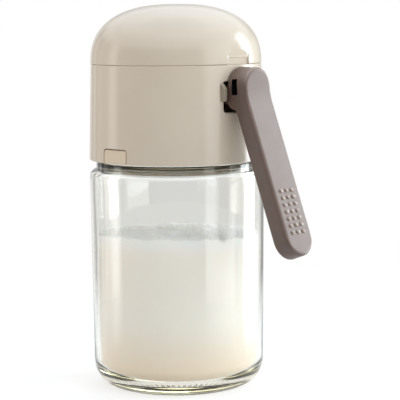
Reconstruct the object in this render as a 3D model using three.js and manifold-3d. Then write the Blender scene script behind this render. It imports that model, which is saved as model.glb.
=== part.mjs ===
// A one-hand metering salt bottle: a glass jar with a screw-on dispenser head, a side press lever
// that works a double valve, and a dome lid hinged over the outlet spout.
// Millimetres, +Z up. The origin is the centre of the jar's base, the lever points to +X and the
// lid's hinge lies at -X.
import * as THREE from "three";
import { mergeVertices } from "three/addons/utils/BufferGeometryUtils.js";
import Module from "manifold-3d";

const wasm = await Module();
wasm.setup();

// Fits shared by all pieces
const runningGap = 0.3; // between faces that run or fit together
const seatGap = 0.1; // between a valve face and its seat when it is shut
const sinkDepth = 0.4; // how far a rib or lug is rooted in the wall that it grows from
const cutOverrun = 3; // how far a cut runs past the wall that it goes through

// Roundness: steps round a full turn
const largeTurnSteps = 48;
const smallTurnSteps = 24;
const tinyTurnSteps = 12;
const nubSteps = 6;
const cornerSteps = 4;
const prismRoundSteps = 7; // an extruded arc has twice as many
const prismCornerSteps = 2;

// Glass jar
const jarShoulderRadius = 34.05;
const jarTaper = 0.55; // how much narrower the foot is than the shoulder
const jarCornerWidth = 7.5;
const jarCornerHeight = 10;
const jarWallTop = 82.2;
const jarShoulderRise = 2.6;
const jarWall = 2.2;
const jarFloor = 4.3;
const jarInnerCorner = 6;
const jarInnerShoulderDrop = 1.6;
const jarInnerShoulderRise = 6.6;
const neckBeadInset = 2.55; // from the shoulder's radius
const neckBeadHeight = 3.4;
const neckInset = 5.05; // from the shoulder's radius
const neckHeight = 14.3;
const neckWall = 2.2;
const rimRound = 0.6;

// Screw thread between the jar and the collar
const threadPitch = 4;
const threadDepth = 0.9;
const threadRootHalf = 0.9;
const threadCrestHalf = 0.5;
const threadLead = 3.4; // from the neck's bead to the start of its thread
const threadTurns = 1.25;
const threadStepsPerTurn = 24;

// Salt in the jar
const saltDrop = 22.8; // from the top of the jar's wall
const saltCrown = 0.8;
const saltShoulderRadius = 22;

// Neck gasket
const gasketThickness = 1;

// Outer housing of the head
const housingOverhang = 0.25; // past the jar's shoulder
const housingDraft = 1; // how much narrower the top is than the foot
const housingAbovePivot = 10.9;
const housingSeat = 0.4; // over the neck's bead
const housingWall = 1.6;
const housingChamfer = 0.4;
const ledgeThickness = 1.4;
const ledgeWidth = 1.3;

// Lever slot and ears in the housing
const slotSideGap = 0.95; // at each side of the lever
const slotBelowPivot = 6.5;
const slotAbovePivot = 5.1;
const slotCorner = 1;
const earSideGap = 0.75; // at each side of the lever
const earThickness = 1.7;
const earBelowPivot = 2.2;
const earShoulderRise = 2.6; // where its front starts to slope back
const earAbovePivot = 4.4;
const earProud = 1.6;
const earDepth = 4.4;

// Screw collar inside the housing
const collarDeckThickness = 2;
const collarSkirtLift = 0.6; // over the housing's edge
const lugHalfWidth = 6.1;
const lugHeight = 5.4;
const lugCorner = 1.2;
const bossInset = 9.8; // from the housing's top radius
const bossRadius = 2.4;
const bossHoleDepth = 11;
const deckScrewCount = 3;

// Top deck under the lid
const deckDrop = 1.8; // from the housing's top
const deckThickness = 2;
const deckRingHeight = 3.2;
const deckRingWall = 1.5;
const deckRingInset = 0.9;

// Deck screws
const screwShankRadius = 1;
const screwHeadRadius = 2;
const screwHeadHeight = 1.2;
const screwLength = 10;
const screwSocketRadius = 0.9;
const screwSocketDepth = 0.7;

// Metering chamber on the collar's deck
const chamberSealThickness = 0.8;
const chamberBore = 3.5;
const chamberWall = 1.5;
const chamberFlangeRadius = 7.6;
const chamberFlangeThickness = 1.5;

// Lever pivot and travel
const pivotInset = 2.1; // from the housing's foot radius
const pivotPinRadius = 1;
const leverTravel = THREE.MathUtils.degToRad(20);
const armReach = 12;
const armDrop = 7;
const noseRadius = 1.5;
const armHalfWidth = 3;

// Press lever, placed from its pivot
const leverHalfWidth = 7.2;
const hubRise = 10.4;
const hubFrontReach = 10;
const hubBackReach = 0.7;
const hubBackDrop = 3.6;
const hubCheekRadius = 3.1;
const hubHeelReach = 2.3;
const hubHeelDrop = 5;
const hubStepReach = 4.9;
const hubStepDrop = 5.4;
const bladeTilt = THREE.MathUtils.degToRad(20.8);
const bladeThickness = 7.2;
const bladePadReach = 23.55;
const bladePadDrop = 34.5;
const bladeTipRun = 24.9;
const hubPocketReach = 7.8;
const hubPocketHalfHeight = 3.4;
const hubWindowReach = 4.5;
const hubWindowRise = 3.2;
const hubWindowHalfWidth = 1.2;
const hubWindowHalfHeight = 2.8;
const hubWindowCorner = 0.3;
const hubWindowDepth = 2.6;
const nubRows = 7;
const nubColumns = 3;
const nubRowPitch = 2.66;
const nubColumnPitch = 2.95;
const nubRadius = 0.85;
const nubHeight = 0.45;

// Lift carrier and valve
const carrierGap = 1.4; // over the chamber's flange
const carrierRingThickness = 1.8;
const carrierRingWidth = 4.2;
const sleeveClearance = 0.6;
const sleeveWall = 1.8;
const sleeveHeight = 6.5; // over the carrier's ring
const bridgeThickness = 1.8;
const bridgeHalfWidth = 1.5;
const bridgeBossRadius = 2.4;
const tongueOverrun = 1.2;
const tongueHalfWidth = 4;
const rodRadius = 0.9;
const rodHeadRadius = 2.4;
const rodHeadHeight = 0.8;
const rodTail = 0.4;
const clipRadius = 2.1;
const clipThickness = 0.6;
const outletPlugRadius = 4.4;
const outletPlugHeight = 1.9;
const inletPlugRadius = 4.6;
const inletPlugHeight = 2;

// Return spring round the carrier
const springWireRadius = 0.4;
const springCoils = 5;
const springStepsPerCoil = 8;
const springWireSides = 5;
const springSideClearance = 0.8;

// Outlet spout
const spoutSkirtWall = 1.2;
const spoutSkirtDrop = 5.5; // under the deck
const spoutFlangeRadius = 14;
const spoutFlangeThickness = 1.4;
const spoutConeRadius = 11.4;
const spoutTipRadius = 5.6;
const spoutLipRadius = 6.1;
const spoutLipHeight = 1.4;
const spoutBore = 3.9;
const spoutThroatRise = 6;

// Dome lid
const lidSeam = 0.4; // between the housing's top and the lid
const lidInset = 0.1; // from the housing's top radius
const lidRise = 22.8;
const lidRoundness = 2.46; // power of the dome's outline: 2 is an ellipse, larger is squarer
const lidWall = 1.8;
const lidSteps = 10;
const notchHalfWidth = 5.4;
const notchHeight = 3.1;
const notchDepth = 0.75;
const notchCorner = 0.6;

// Lid hinge
const knuckleRadius = 2;
const lidKnuckleHalf = 3.6;
const housingKnuckleLength = 5;
const hingePinRadius = 0.9;
const hingeWebHeight = 1.8;
const hingeBracketDrop = 6;
const hingePinRecess = 0.2;

// Lid liner and spout seal
const linerClearance = 0.8; // to the dome inside
const linerThickness = 1.2;
const linerDrop = 4.7; // from the lid's top
const linerCupDepth = 4.4;
const linerCupWall = 1.2;
const spoutSealRadius = 6.6;
const spoutSealHeight = 2.4;
const spoutSealGap = 0.2; // over the spout's lip

// Radii that follow from the ones above
const jarFootRadius = jarShoulderRadius - jarTaper;
const neckBeadRadius = jarShoulderRadius - neckBeadInset;
const neckRadius = jarShoulderRadius - neckInset;
const housingFootRadius = jarShoulderRadius + housingOverhang;
const housingTopRadius = housingFootRadius - housingDraft;
const bossCircle = housingTopRadius - bossInset;
const lidRadius = housingTopRadius - lidInset;

// Heights that follow from the ones above, from the jar up to the lid
const neckBeadTop = jarWallTop + jarShoulderRise + neckBeadHeight;
const rimTop = neckBeadTop + neckHeight;
const threadStart = neckBeadTop + threadLead;
const saltWallHeight = jarWallTop - saltDrop;
const housingBottom = neckBeadTop + housingSeat;
const collarSkirtBottom = housingBottom + collarSkirtLift;
const lugTop = housingBottom + lugHeight;
const collarDeckBottom = rimTop + gasketThickness;
const collarDeckTop = collarDeckBottom + collarDeckThickness;
const chamberBottom = collarDeckTop + chamberSealThickness;
const carrierRingBottom = chamberBottom + chamberFlangeThickness + carrierGap;
const carrierRingTop = carrierRingBottom + carrierRingThickness;
const noseZ = carrierRingBottom - runningGap - noseRadius;
const pivotZ = noseZ + armDrop;
const housingTop = pivotZ + housingAbovePivot;
const deckTop = housingTop - deckDrop;
const deckBottom = deckTop - deckThickness;
const lidBottom = housingTop + lidSeam;
const linerTop = lidBottom + lidRise - linerDrop;
const linerCupBottom = linerTop - linerCupDepth;
const spoutTop = linerCupBottom - spoutSealHeight / 2 - spoutSealGap;

// Places of the lever that follow from its pivot
const pivotX = housingFootRadius - pivotInset;
const slotHalfWidth = leverHalfWidth + slotSideGap;
const slotBottom = pivotZ - slotBelowPivot;
const slotTop = pivotZ + slotAbovePivot;
const earInner = leverHalfWidth + earSideGap;
const leverTopZ = pivotZ + hubRise;
const hubFrontX = pivotX + hubFrontReach;
const hubHeelX = pivotX + hubHeelReach;
const bladePadX = pivotX + bladePadReach;
const bladePadZ = pivotZ - bladePadDrop;

// Fits that follow from the ones above
const neckBore = neckRadius - neckWall;
const threadCrestRadius = neckRadius + threadDepth;
const collarBore = threadCrestRadius + runningGap;
const collarThreadCrest = collarBore - threadDepth;
const chamberRadius = chamberBore + chamberWall;
const sleeveBore = chamberRadius + sleeveClearance;
const sleeveRadius = sleeveBore + sleeveWall;
const carrierRingRadius = sleeveRadius + carrierRingWidth;
const noseX = pivotX - armReach;
const valveLift = armReach * Math.sin(leverTravel) + armDrop * (1 - Math.cos(leverTravel));
const sleeveTop = carrierRingTop + sleeveHeight;
const outletPlugBottom = sleeveTop - outletPlugHeight;
const chamberTop = outletPlugBottom - seatGap;
const inletPlugTop = collarDeckBottom - valveLift - seatGap;
const inletPlugBottom = inletPlugTop - inletPlugHeight;
const bridgeTop = sleeveTop + bridgeThickness;
const spoutSkirtBore = sleeveRadius + runningGap + seatGap;
const spoutSkirtRadius = spoutSkirtBore + spoutSkirtWall;
const springRadius = spoutSkirtRadius + springSideClearance + springWireRadius;
const hingeX = -(housingTopRadius + runningGap + knuckleRadius);
const hingePivotZ = (housingTop + lidBottom) / 2;
const housingKnuckleInner = lidKnuckleHalf + runningGap;
const housingKnuckleOuter = housingKnuckleInner + housingKnuckleLength;
const screwClearanceRadius = screwShankRadius + runningGap;

// Helpers: outlines

function at(x, y) {
  return new THREE.Vector2(x, y);
}

// Points on a part of an ellipse, angles in quarter turns
function ellipseArc(centreX, centreY, radiusX, radiusY, fromQuarter, toQuarter, steps = cornerSteps) {
  const points = [];
  for (let step = 0; step <= steps; step += 1) {
    const angle = (fromQuarter + ((toQuarter - fromQuarter) * step) / steps) * (Math.PI / 2);
    points.push(at(centreX + radiusX * Math.cos(angle), centreY + radiusY * Math.sin(angle)));
  }
  return points;
}

function circleShape(centreX, centreY, radius) {
  const shape = new THREE.Shape();
  shape.absarc(centreX, centreY, radius, 0, Math.PI * 2, false);
  return shape;
}

function roundedRectangle(left, bottom, right, top, corner) {
  const quarter = Math.PI / 2;
  const shape = new THREE.Shape();
  shape.absarc(right - corner, bottom + corner, corner, -quarter, 0, false);
  shape.absarc(right - corner, top - corner, corner, 0, quarter, false);
  shape.absarc(left + corner, top - corner, corner, quarter, quarter * 2, false);
  shape.absarc(left + corner, bottom + corner, corner, quarter * 2, quarter * 3, false);
  return shape;
}

// Helpers: solids

// A closed geometry as a solid, with its shared corners merged and its empty triangles dropped
function toSolid(geometry) {
  const bare = geometry.clone();
  bare.deleteAttribute("normal");
  bare.deleteAttribute("uv");
  const merged = mergeVertices(bare);
  const index = merged.index.array;
  const triangles = [];
  for (let i = 0; i < index.length; i += 3) {
    const [a, b, c] = [index[i], index[i + 1], index[i + 2]];
    if (a !== b && b !== c && c !== a) triangles.push(a, b, c);
  }
  const vertProperties = new Float32Array(merged.attributes.position.array);
  const make = (order) => {
    const triVerts = new Uint32Array(order);
    return new wasm.Manifold(new wasm.Mesh({ numProp: 3, vertProperties, triVerts }));
  };
  const solid = make(triangles);
  return solid.volume() > 0 ? solid : make(triangles.reverse());
}

// A ring or full body of revolution round +Z from an outline of (radius, height) points
function revolve(outline, steps = largeTurnSteps) {
  const onAxis = outline[0].x === 0 && outline[outline.length - 1].x === 0;
  const points = onAxis ? outline : [...outline, outline[0]];
  const geometry = new THREE.LatheGeometry(points, steps);
  geometry.rotateX(Math.PI / 2);
  return toSolid(geometry);
}

function ring(innerRadius, outerRadius, bottom, top, steps = largeTurnSteps) {
  const corners = [at(innerRadius, bottom), at(outerRadius, bottom), at(outerRadius, top)];
  return revolve([...corners, at(innerRadius, top)], steps);
}

function disc(radius, bottom, top, steps = smallTurnSteps) {
  return ring(0, radius, bottom, top, steps);
}

// A prism of a shape drawn on two axes of the part and pushed along the third
function prism(shape, start, end, across, up, steps) {
  const along = new THREE.Vector3().crossVectors(across, up);
  const geometry = new THREE.ExtrudeGeometry(shape, {
    depth: end - start,
    bevelEnabled: false,
    curveSegments: steps,
  });
  geometry.applyMatrix4(new THREE.Matrix4().makeBasis(across, up, along));
  geometry.translate(along.x * start, along.y * start, along.z * start);
  return toSolid(geometry);
}

const axisX = new THREE.Vector3(1, 0, 0);
const axisY = new THREE.Vector3(0, 1, 0);
const axisZ = new THREE.Vector3(0, 0, 1);

// Shape drawn as (x, z), from one y to another
function prismAlongY(shape, fromY, toY, steps = prismRoundSteps) {
  return prism(shape, -toY, -fromY, axisX, axisZ, steps);
}

// Shape drawn as (y, z), from one x to another
function prismAlongX(shape, fromX, toX, steps = prismCornerSteps) {
  return prism(shape, fromX, toX, axisY, axisZ, steps);
}

// A ridge or wire of a closed section of (radius, height) points, swept along a screw line
function screwSweep(section, pitch, turns, stepsPerTurn, rise) {
  const steps = Math.round(turns * stepsPerTurn);
  const sides = section.length;
  const corners = [];
  for (let step = 0; step <= steps; step += 1) {
    const turn = step / stepsPerTurn;
    const angle = turn * Math.PI * 2;
    for (const point of section) {
      corners.push(point.x * Math.cos(angle), point.x * Math.sin(angle), point.y + rise + turn * pitch);
    }
  }
  const faces = [];
  for (let step = 0; step < steps; step += 1) {
    for (let side = 0; side < sides; side += 1) {
      const a = step * sides + side;
      const b = step * sides + ((side + 1) % sides);
      faces.push(a, b, b + sides, a, b + sides, a + sides);
    }
  }
  const last = steps * sides;
  for (let side = 1; side < sides - 1; side += 1) {
    faces.push(0, side + 1, side, last, last + side, last + side + 1);
  }
  const geometry = new THREE.BufferGeometry();
  geometry.setAttribute("position", new THREE.Float32BufferAttribute(corners, 3));
  geometry.setIndex(faces);
  return toSolid(geometry);
}

// The housing's outer radius at a height, from its slight draft
function housingRadiusAt(height) {
  const share = (height - housingBottom) / (housingTop - housingBottom);
  return housingFootRadius + (housingTopRadius - housingFootRadius) * share;
}

const collarRadius = housingRadiusAt(collarDeckTop) - housingWall - runningGap;
const deckRadius = housingRadiusAt(deckTop) - housingWall - runningGap;

// Jar

function jarOutline() {
  const bodyInner = jarShoulderRadius - jarWall;
  const footInner = jarFootRadius - jarWall;
  const shoulderBase = jarWallTop - jarInnerShoulderDrop;
  const corner = jarInnerCorner;
  return [
    at(0, 0),
    ...ellipseArc(jarFootRadius - jarCornerWidth, jarCornerHeight, jarCornerWidth, jarCornerHeight, -1, 0),
    ...ellipseArc(neckBeadRadius, jarWallTop, jarShoulderRadius - neckBeadRadius, jarShoulderRise, 0, 1),
    at(neckBeadRadius, neckBeadTop - rimRound),
    at(neckBeadRadius - rimRound, neckBeadTop),
    at(neckRadius, neckBeadTop),
    at(neckRadius, rimTop - rimRound),
    at(neckRadius - rimRound, rimTop),
    at(neckBore + rimRound, rimTop),
    at(neckBore, rimTop - rimRound),
    ...ellipseArc(neckBore, shoulderBase, bodyInner - neckBore, jarInnerShoulderRise, 1, 0),
    ...ellipseArc(footInner - corner, jarFloor + corner, corner, corner, 0, -1),
    at(0, jarFloor),
  ];
}

// The section of a thread ridge: its root is sunk in the wall at rootRadius
function threadSection(rootRadius, crestRadius) {
  const sink = crestRadius > rootRadius ? -sinkDepth : sinkDepth;
  return [
    at(rootRadius + sink, -threadRootHalf),
    at(crestRadius, -threadCrestHalf),
    at(crestRadius, threadCrestHalf),
    at(rootRadius + sink, threadRootHalf),
  ];
}

function glassJar() {
  const section = threadSection(neckRadius, threadCrestRadius);
  const thread = screwSweep(section, threadPitch, threadTurns, threadStepsPerTurn, threadStart);
  return revolve(jarOutline()).add(thread);
}

function saltFill() {
  const bottom = jarFloor + runningGap;
  const corner = jarInnerCorner;
  const footRadius = jarFootRadius - jarWall - runningGap;
  const bodyRadius = jarShoulderRadius - jarWall - runningGap;
  const heightShare = (saltWallHeight - bottom) / (jarWallTop - bottom);
  const wallRadius = footRadius + (bodyRadius - footRadius) * heightShare;
  return revolve([
    at(0, bottom),
    ...ellipseArc(footRadius - corner, bottom + corner, corner, corner, -1, 0),
    at(wallRadius, saltWallHeight),
    at(saltShoulderRadius, saltWallHeight + saltCrown),
    at(0, saltWallHeight + saltCrown),
  ]);
}

function neckGasket() {
  return ring(neckBore, neckRadius, rimTop, collarDeckBottom, largeTurnSteps);
}

// Head: housing, collar and deck

function housingOutline() {
  const innerFoot = housingFootRadius - housingWall;
  const innerTop = housingTopRadius - housingWall;
  const ledgeBottom = deckBottom - ledgeThickness;
  const ledgeInner = housingRadiusAt(deckBottom) - housingWall - ledgeWidth;
  return [
    at(innerFoot, housingBottom),
    at(housingFootRadius - housingChamfer, housingBottom),
    at(housingFootRadius, housingBottom + housingChamfer),
    at(housingTopRadius, housingTop),
    at(innerTop, housingTop),
    at(housingRadiusAt(deckBottom) - housingWall, deckBottom),
    at(ledgeInner, deckBottom),
    at(ledgeInner, ledgeBottom),
    at(housingRadiusAt(ledgeBottom) - housingWall, ledgeBottom - ledgeWidth),
  ];
}

// The tongue-shaped outline of a skirt lug, grown by a clearance for its notch
function lugShape(grow) {
  const bottom = housingBottom - cutOverrun;
  const half = lugHalfWidth + grow;
  return roundedRectangle(-half, bottom, half, lugTop + grow, lugCorner + grow);
}

function lugPrism(grow) {
  const reach = housingFootRadius + cutOverrun;
  return prismAlongY(lugShape(grow), -reach, reach, prismCornerSteps);
}

function skirtLugs() {
  const band = revolve([
    at(collarRadius - sinkDepth, housingBottom),
    at(housingFootRadius - housingChamfer, housingBottom),
    at(housingFootRadius, housingBottom + housingChamfer),
    at(housingRadiusAt(lugTop), lugTop),
    at(collarRadius - sinkDepth, lugTop),
  ]);
  return band.intersect(lugPrism(0));
}

// The ears that carry the lever's pin, one at each side of the slot
function earPair() {
  const radius = housingRadiusAt(pivotZ);
  const outerX = Math.sqrt(radius ** 2 - earInner ** 2) + earProud;
  const innerX = outerX - earDepth;
  const shape = new THREE.Shape([
    at(innerX, pivotZ - earBelowPivot),
    at(outerX, pivotZ - earBelowPivot),
    at(outerX, pivotZ + earShoulderRise),
    at(outerX - earProud, pivotZ + earAbovePivot),
    at(innerX, pivotZ + earAbovePivot),
  ]);
  const outerY = earInner + earThickness;
  const corners = prismCornerSteps;
  return prismAlongY(shape, earInner, outerY, corners).add(prismAlongY(shape, -outerY, -earInner, corners));
}

function pivotBore(halfLength) {
  const shape = circleShape(pivotX, pivotZ, pivotPinRadius + runningGap);
  return prismAlongY(shape, -halfLength, halfLength);
}

// A round bar on the lid hinge's axis: a pin, knuckle or bore
function hingeBar(radius, halfLength) {
  return prismAlongY(circleShape(hingeX, hingePivotZ, radius), -halfLength, halfLength);
}

// A hinge bracket of the housing: a knuckle with a gusset down to the wall
function housingKnuckle(fromY, toY) {
  const rootX = -(housingTopRadius - housingWall / 2);
  const gusset = new THREE.Shape([
    at(rootX, housingTop),
    at(rootX, housingTop - hingeBracketDrop),
    at(hingeX - knuckleRadius * Math.cos(Math.PI / 4), hingePivotZ - knuckleRadius * Math.sin(Math.PI / 4)),
    at(hingeX, housingTop),
  ]);
  const barrel = prismAlongY(circleShape(hingeX, hingePivotZ, knuckleRadius), fromY, toY);
  return barrel.add(prismAlongY(gusset, fromY, toY));
}

function outerHousing() {
  const slot = roundedRectangle(-slotHalfWidth, slotBottom, slotHalfWidth, slotTop, slotCorner);
  const slotCut = prismAlongX(slot, pivotX - earDepth - cutOverrun, housingFootRadius + cutOverrun);
  const pinSocket = earInner + earThickness - runningGap;
  return revolve(housingOutline())
    .subtract(lugPrism(runningGap))
    .subtract(slotCut)
    .add(earPair())
    .subtract(pivotBore(pinSocket))
    .add(housingKnuckle(housingKnuckleInner, housingKnuckleOuter))
    .add(housingKnuckle(-housingKnuckleOuter, -housingKnuckleInner))
    .subtract(hingeBar(hingePinRadius + runningGap, housingKnuckleOuter + cutOverrun));
}

function deckScrewPlace(number) {
  const angle = Math.PI / deckScrewCount + (number * Math.PI * 2) / deckScrewCount;
  return at(bossCircle * Math.cos(angle), bossCircle * Math.sin(angle));
}

function screwCollar() {
  const section = threadSection(collarBore, collarThreadCrest);
  const halfPitchUp = threadStart + threadPitch / 2;
  const thread = screwSweep(section, threadPitch, threadTurns, threadStepsPerTurn, halfPitchUp);
  let collar = revolve([
    at(collarBore, collarSkirtBottom),
    at(collarRadius, collarSkirtBottom),
    at(collarRadius, collarDeckTop),
    at(chamberBore, collarDeckTop),
    at(chamberBore, collarDeckBottom),
    at(collarBore, collarDeckBottom),
  ]).add(thread);
  collar = collar.add(skirtLugs());
  for (let number = 0; number < deckScrewCount; number += 1) {
    const place = deckScrewPlace(number);
    const boss = disc(bossRadius, collarDeckTop - sinkDepth, deckBottom, tinyTurnSteps);
    const hole = disc(screwClearanceRadius, deckBottom - bossHoleDepth, deckTop, tinyTurnSteps);
    collar = collar.add(boss.translate([place.x, place.y, 0]));
    collar = collar.subtract(hole.translate([place.x, place.y, 0]));
  }
  return collar;
}

function topDeck() {
  const ringOuter = deckRadius - deckRingInset;
  const ringInner = ringOuter - deckRingWall;
  const hole = spoutSkirtRadius + runningGap;
  let deck = revolve([
    at(hole, deckBottom),
    at(deckRadius, deckBottom),
    at(deckRadius, deckTop),
    at(ringOuter, deckTop),
    at(ringOuter, deckTop + deckRingHeight),
    at(ringInner, deckTop + deckRingHeight),
    at(ringInner, deckTop),
    at(hole, deckTop),
  ]);
  for (let number = 0; number < deckScrewCount; number += 1) {
    const place = deckScrewPlace(number);
    const bore = disc(screwClearanceRadius, deckBottom - cutOverrun, deckTop + cutOverrun, tinyTurnSteps);
    deck = deck.subtract(bore.translate([place.x, place.y, 0]));
  }
  return deck;
}

function deckScrew(number) {
  const place = deckScrewPlace(number);
  const headTop = deckTop + screwHeadHeight;
  const screw = revolve(
    [
      at(0, deckTop - screwLength),
      at(screwShankRadius, deckTop - screwLength),
      at(screwShankRadius, deckTop),
      at(screwHeadRadius, deckTop),
      at(screwHeadRadius, headTop - screwHeadHeight / 2),
      at(screwHeadRadius - screwHeadHeight / 2, headTop),
      at(screwSocketRadius, headTop),
      at(screwSocketRadius, headTop - screwSocketDepth),
      at(0, headTop - screwSocketDepth),
    ],
    tinyTurnSteps,
  );
  return screw.translate([place.x, place.y, 0]);
}

// Metering chamber and spout

function chamberSeal() {
  return ring(chamberBore, chamberFlangeRadius, collarDeckTop, chamberBottom, smallTurnSteps);
}

function meteringChamber() {
  return revolve(
    [
      at(chamberBore, chamberBottom),
      at(chamberFlangeRadius, chamberBottom),
      at(chamberFlangeRadius, chamberBottom + chamberFlangeThickness),
      at(chamberRadius, chamberBottom + chamberFlangeThickness),
      at(chamberRadius, chamberTop),
      at(chamberBore, chamberTop),
    ],
    smallTurnSteps,
  );
}

function outletSpout() {
  const skirtBottom = deckBottom - spoutSkirtDrop;
  const flangeTop = deckTop + spoutFlangeThickness;
  const lipBottom = spoutTop - spoutLipHeight;
  const throatBottom = bridgeTop + valveLift + clipThickness;
  return revolve(
    [
      at(spoutSkirtBore, skirtBottom),
      at(spoutSkirtRadius, skirtBottom),
      at(spoutSkirtRadius, deckTop),
      at(spoutFlangeRadius, deckTop),
      at(spoutFlangeRadius, flangeTop - spoutFlangeThickness / 2),
      at(spoutFlangeRadius - spoutFlangeThickness / 2, flangeTop),
      at(spoutConeRadius, flangeTop),
      at(spoutTipRadius, lipBottom),
      at(spoutLipRadius, lipBottom),
      at(spoutLipRadius, spoutTop - spoutLipHeight / 2),
      at(spoutTipRadius, spoutTop),
      at(spoutBore, spoutTop),
      at(spoutBore, throatBottom + spoutThroatRise),
      at(spoutSkirtBore, throatBottom),
    ],
    smallTurnSteps,
  );
}

// Valve train

function liftCarrier() {
  const tongueTipX = noseX + tongueOverrun;
  const body = revolve(
    [
      at(sleeveBore, carrierRingBottom),
      at(carrierRingRadius, carrierRingBottom),
      at(carrierRingRadius, carrierRingTop),
      at(sleeveRadius, carrierRingTop),
      at(sleeveRadius, bridgeTop),
      at(sleeveBore, bridgeTop),
    ],
    smallTurnSteps,
  );
  const bridgeReach = (sleeveBore + sleeveRadius) / 2;
  const bridgeShape = new THREE.Shape([
    at(-bridgeHalfWidth, sleeveTop),
    at(bridgeHalfWidth, sleeveTop),
    at(bridgeHalfWidth, bridgeTop),
    at(-bridgeHalfWidth, bridgeTop),
  ]);
  const tongueShape = new THREE.Shape([
    at(-tongueHalfWidth, carrierRingBottom),
    at(tongueHalfWidth, carrierRingBottom),
    at(tongueHalfWidth, carrierRingTop),
    at(-tongueHalfWidth, carrierRingTop),
  ]);
  const tongueRoot = (sleeveRadius + carrierRingRadius) / 2;
  return body
    .add(prismAlongX(bridgeShape, -bridgeReach, bridgeReach))
    .add(disc(bridgeBossRadius, sleeveTop, bridgeTop))
    .subtract(disc(rodRadius + runningGap, sleeveTop - cutOverrun, bridgeTop + cutOverrun, tinyTurnSteps))
    .add(prismAlongX(tongueShape, tongueRoot, tongueTipX));
}

function valveRod() {
  const headBottom = inletPlugBottom - rodHeadHeight;
  return revolve(
    [
      at(0, headBottom),
      at(rodHeadRadius, headBottom),
      at(rodHeadRadius, inletPlugBottom),
      at(rodRadius, inletPlugBottom),
      at(rodRadius, bridgeTop + clipThickness + rodTail),
      at(0, bridgeTop + clipThickness + rodTail),
    ],
    tinyTurnSteps,
  );
}

function rodRing(outerRadius, bottom, top) {
  return ring(rodRadius + runningGap, outerRadius, bottom, top, tinyTurnSteps);
}

function returnSpring() {
  const section = [];
  for (let side = 0; side < springWireSides; side += 1) {
    const angle = (side / springWireSides) * Math.PI * 2;
    section.push(at(springRadius + springWireRadius * Math.cos(angle), springWireRadius * Math.sin(angle)));
  }
  const space = deckBottom - carrierRingTop - seatGap * 2;
  const pitch = (space - springWireRadius * 2) / springCoils;
  const rise = carrierRingTop + seatGap + springWireRadius;
  const leastGap = pitch - springWireRadius * 2;
  console.log(`spring: ${springCoils} coils, least gap ${leastGap.toFixed(2)} mm`);
  return screwSweep(section, pitch, springCoils, springStepsPerCoil, rise);
}

// Lever

const bladeDown = at(Math.sin(bladeTilt), -Math.cos(bladeTilt));
const bladeOut = at(Math.cos(bladeTilt), Math.sin(bladeTilt));

// A place on the blade's side view: so far down from the pad's first row, so far out of its face
function bladePoint(down, out) {
  return at(
    bladePadX + bladeDown.x * down + bladeOut.x * out,
    bladePadZ + bladeDown.y * down + bladeOut.y * out,
  );
}

// How far up the blade its face or back meets a vertical line at x
function bladeRunAt(x, out) {
  return (x - bladePadX - bladeOut.x * out) / bladeDown.x;
}

function leverSideShape() {
  const hubBackX = pivotX + hubBackReach;
  const hubStepX = pivotX + hubStepReach;
  const backAtStep = bladeRunAt(hubStepX, -bladeThickness);
  return new THREE.Shape([
    at(hubBackX, leverTopZ),
    at(hubBackX, pivotZ - hubBackDrop),
    at(hubHeelX, pivotZ - hubHeelDrop),
    at(hubStepX, pivotZ - hubStepDrop),
    bladePoint(backAtStep, -bladeThickness),
    bladePoint(bladeTipRun, -bladeThickness),
    bladePoint(bladeTipRun, 0),
    bladePoint(bladeRunAt(hubFrontX, 0), 0),
    at(hubFrontX, leverTopZ),
  ]);
}

// A strip as wide as the lever with one round end, drawn as (across, up)
function roundEndedStrip(endZ, farZ) {
  const turn = endZ > farZ ? 1 : -1;
  const centre = endZ - turn * leverHalfWidth;
  const shape = new THREE.Shape();
  shape.moveTo(turn * leverHalfWidth, farZ);
  shape.lineTo(turn * leverHalfWidth, centre);
  shape.absarc(0, centre, leverHalfWidth, turn > 0 ? 0 : Math.PI, turn > 0 ? Math.PI : Math.PI * 2, false);
  shape.lineTo(-turn * leverHalfWidth, farZ);
  return shape;
}

function leverCheeks() {
  const cheek = circleShape(pivotX, pivotZ, hubCheekRadius);
  const rootX = hubHeelX + sinkDepth;
  const web = new THREE.Shape([
    at(pivotX, pivotZ - hubCheekRadius),
    at(rootX, pivotZ - hubCheekRadius),
    at(rootX, pivotZ + hubCheekRadius),
    at(pivotX, pivotZ + hubCheekRadius),
  ]);
  const half = leverHalfWidth;
  return prismAlongY(cheek, -half, half).add(prismAlongY(web, -half, half));
}

// The grip nubs on the blade's face, in rows down it
function leverNubs() {
  const nubs = [];
  const out = new THREE.Vector3(bladeOut.x, 0, bladeOut.y);
  const facing = new THREE.Matrix4().makeBasis(axisY, out, new THREE.Vector3().crossVectors(axisY, out));
  const height = nubHeight + sinkDepth;
  for (let row = 0; row < nubRows; row += 1) {
    for (let column = 0; column < nubColumns; column += 1) {
      const acrossPlace = (column - (nubColumns - 1) / 2) * nubColumnPitch;
      const nub = new THREE.CylinderGeometry(nubRadius / 2, nubRadius, height, nubSteps);
      nub.applyMatrix4(facing);
      const place = bladePoint(row * nubRowPitch, (nubHeight - sinkDepth) / 2);
      nub.translate(place.x, acrossPlace, place.y);
      nubs.push(toSolid(nub));
    }
  }
  return nubs;
}

// The housing's body above its slot, grown by a gap: the hub's back is hollowed to follow it
function wallSpace() {
  const radius = housingRadiusAt(slotTop) + runningGap;
  return disc(radius, slotTop - runningGap * 2, leverTopZ + cutOverrun, largeTurnSteps);
}

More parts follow.
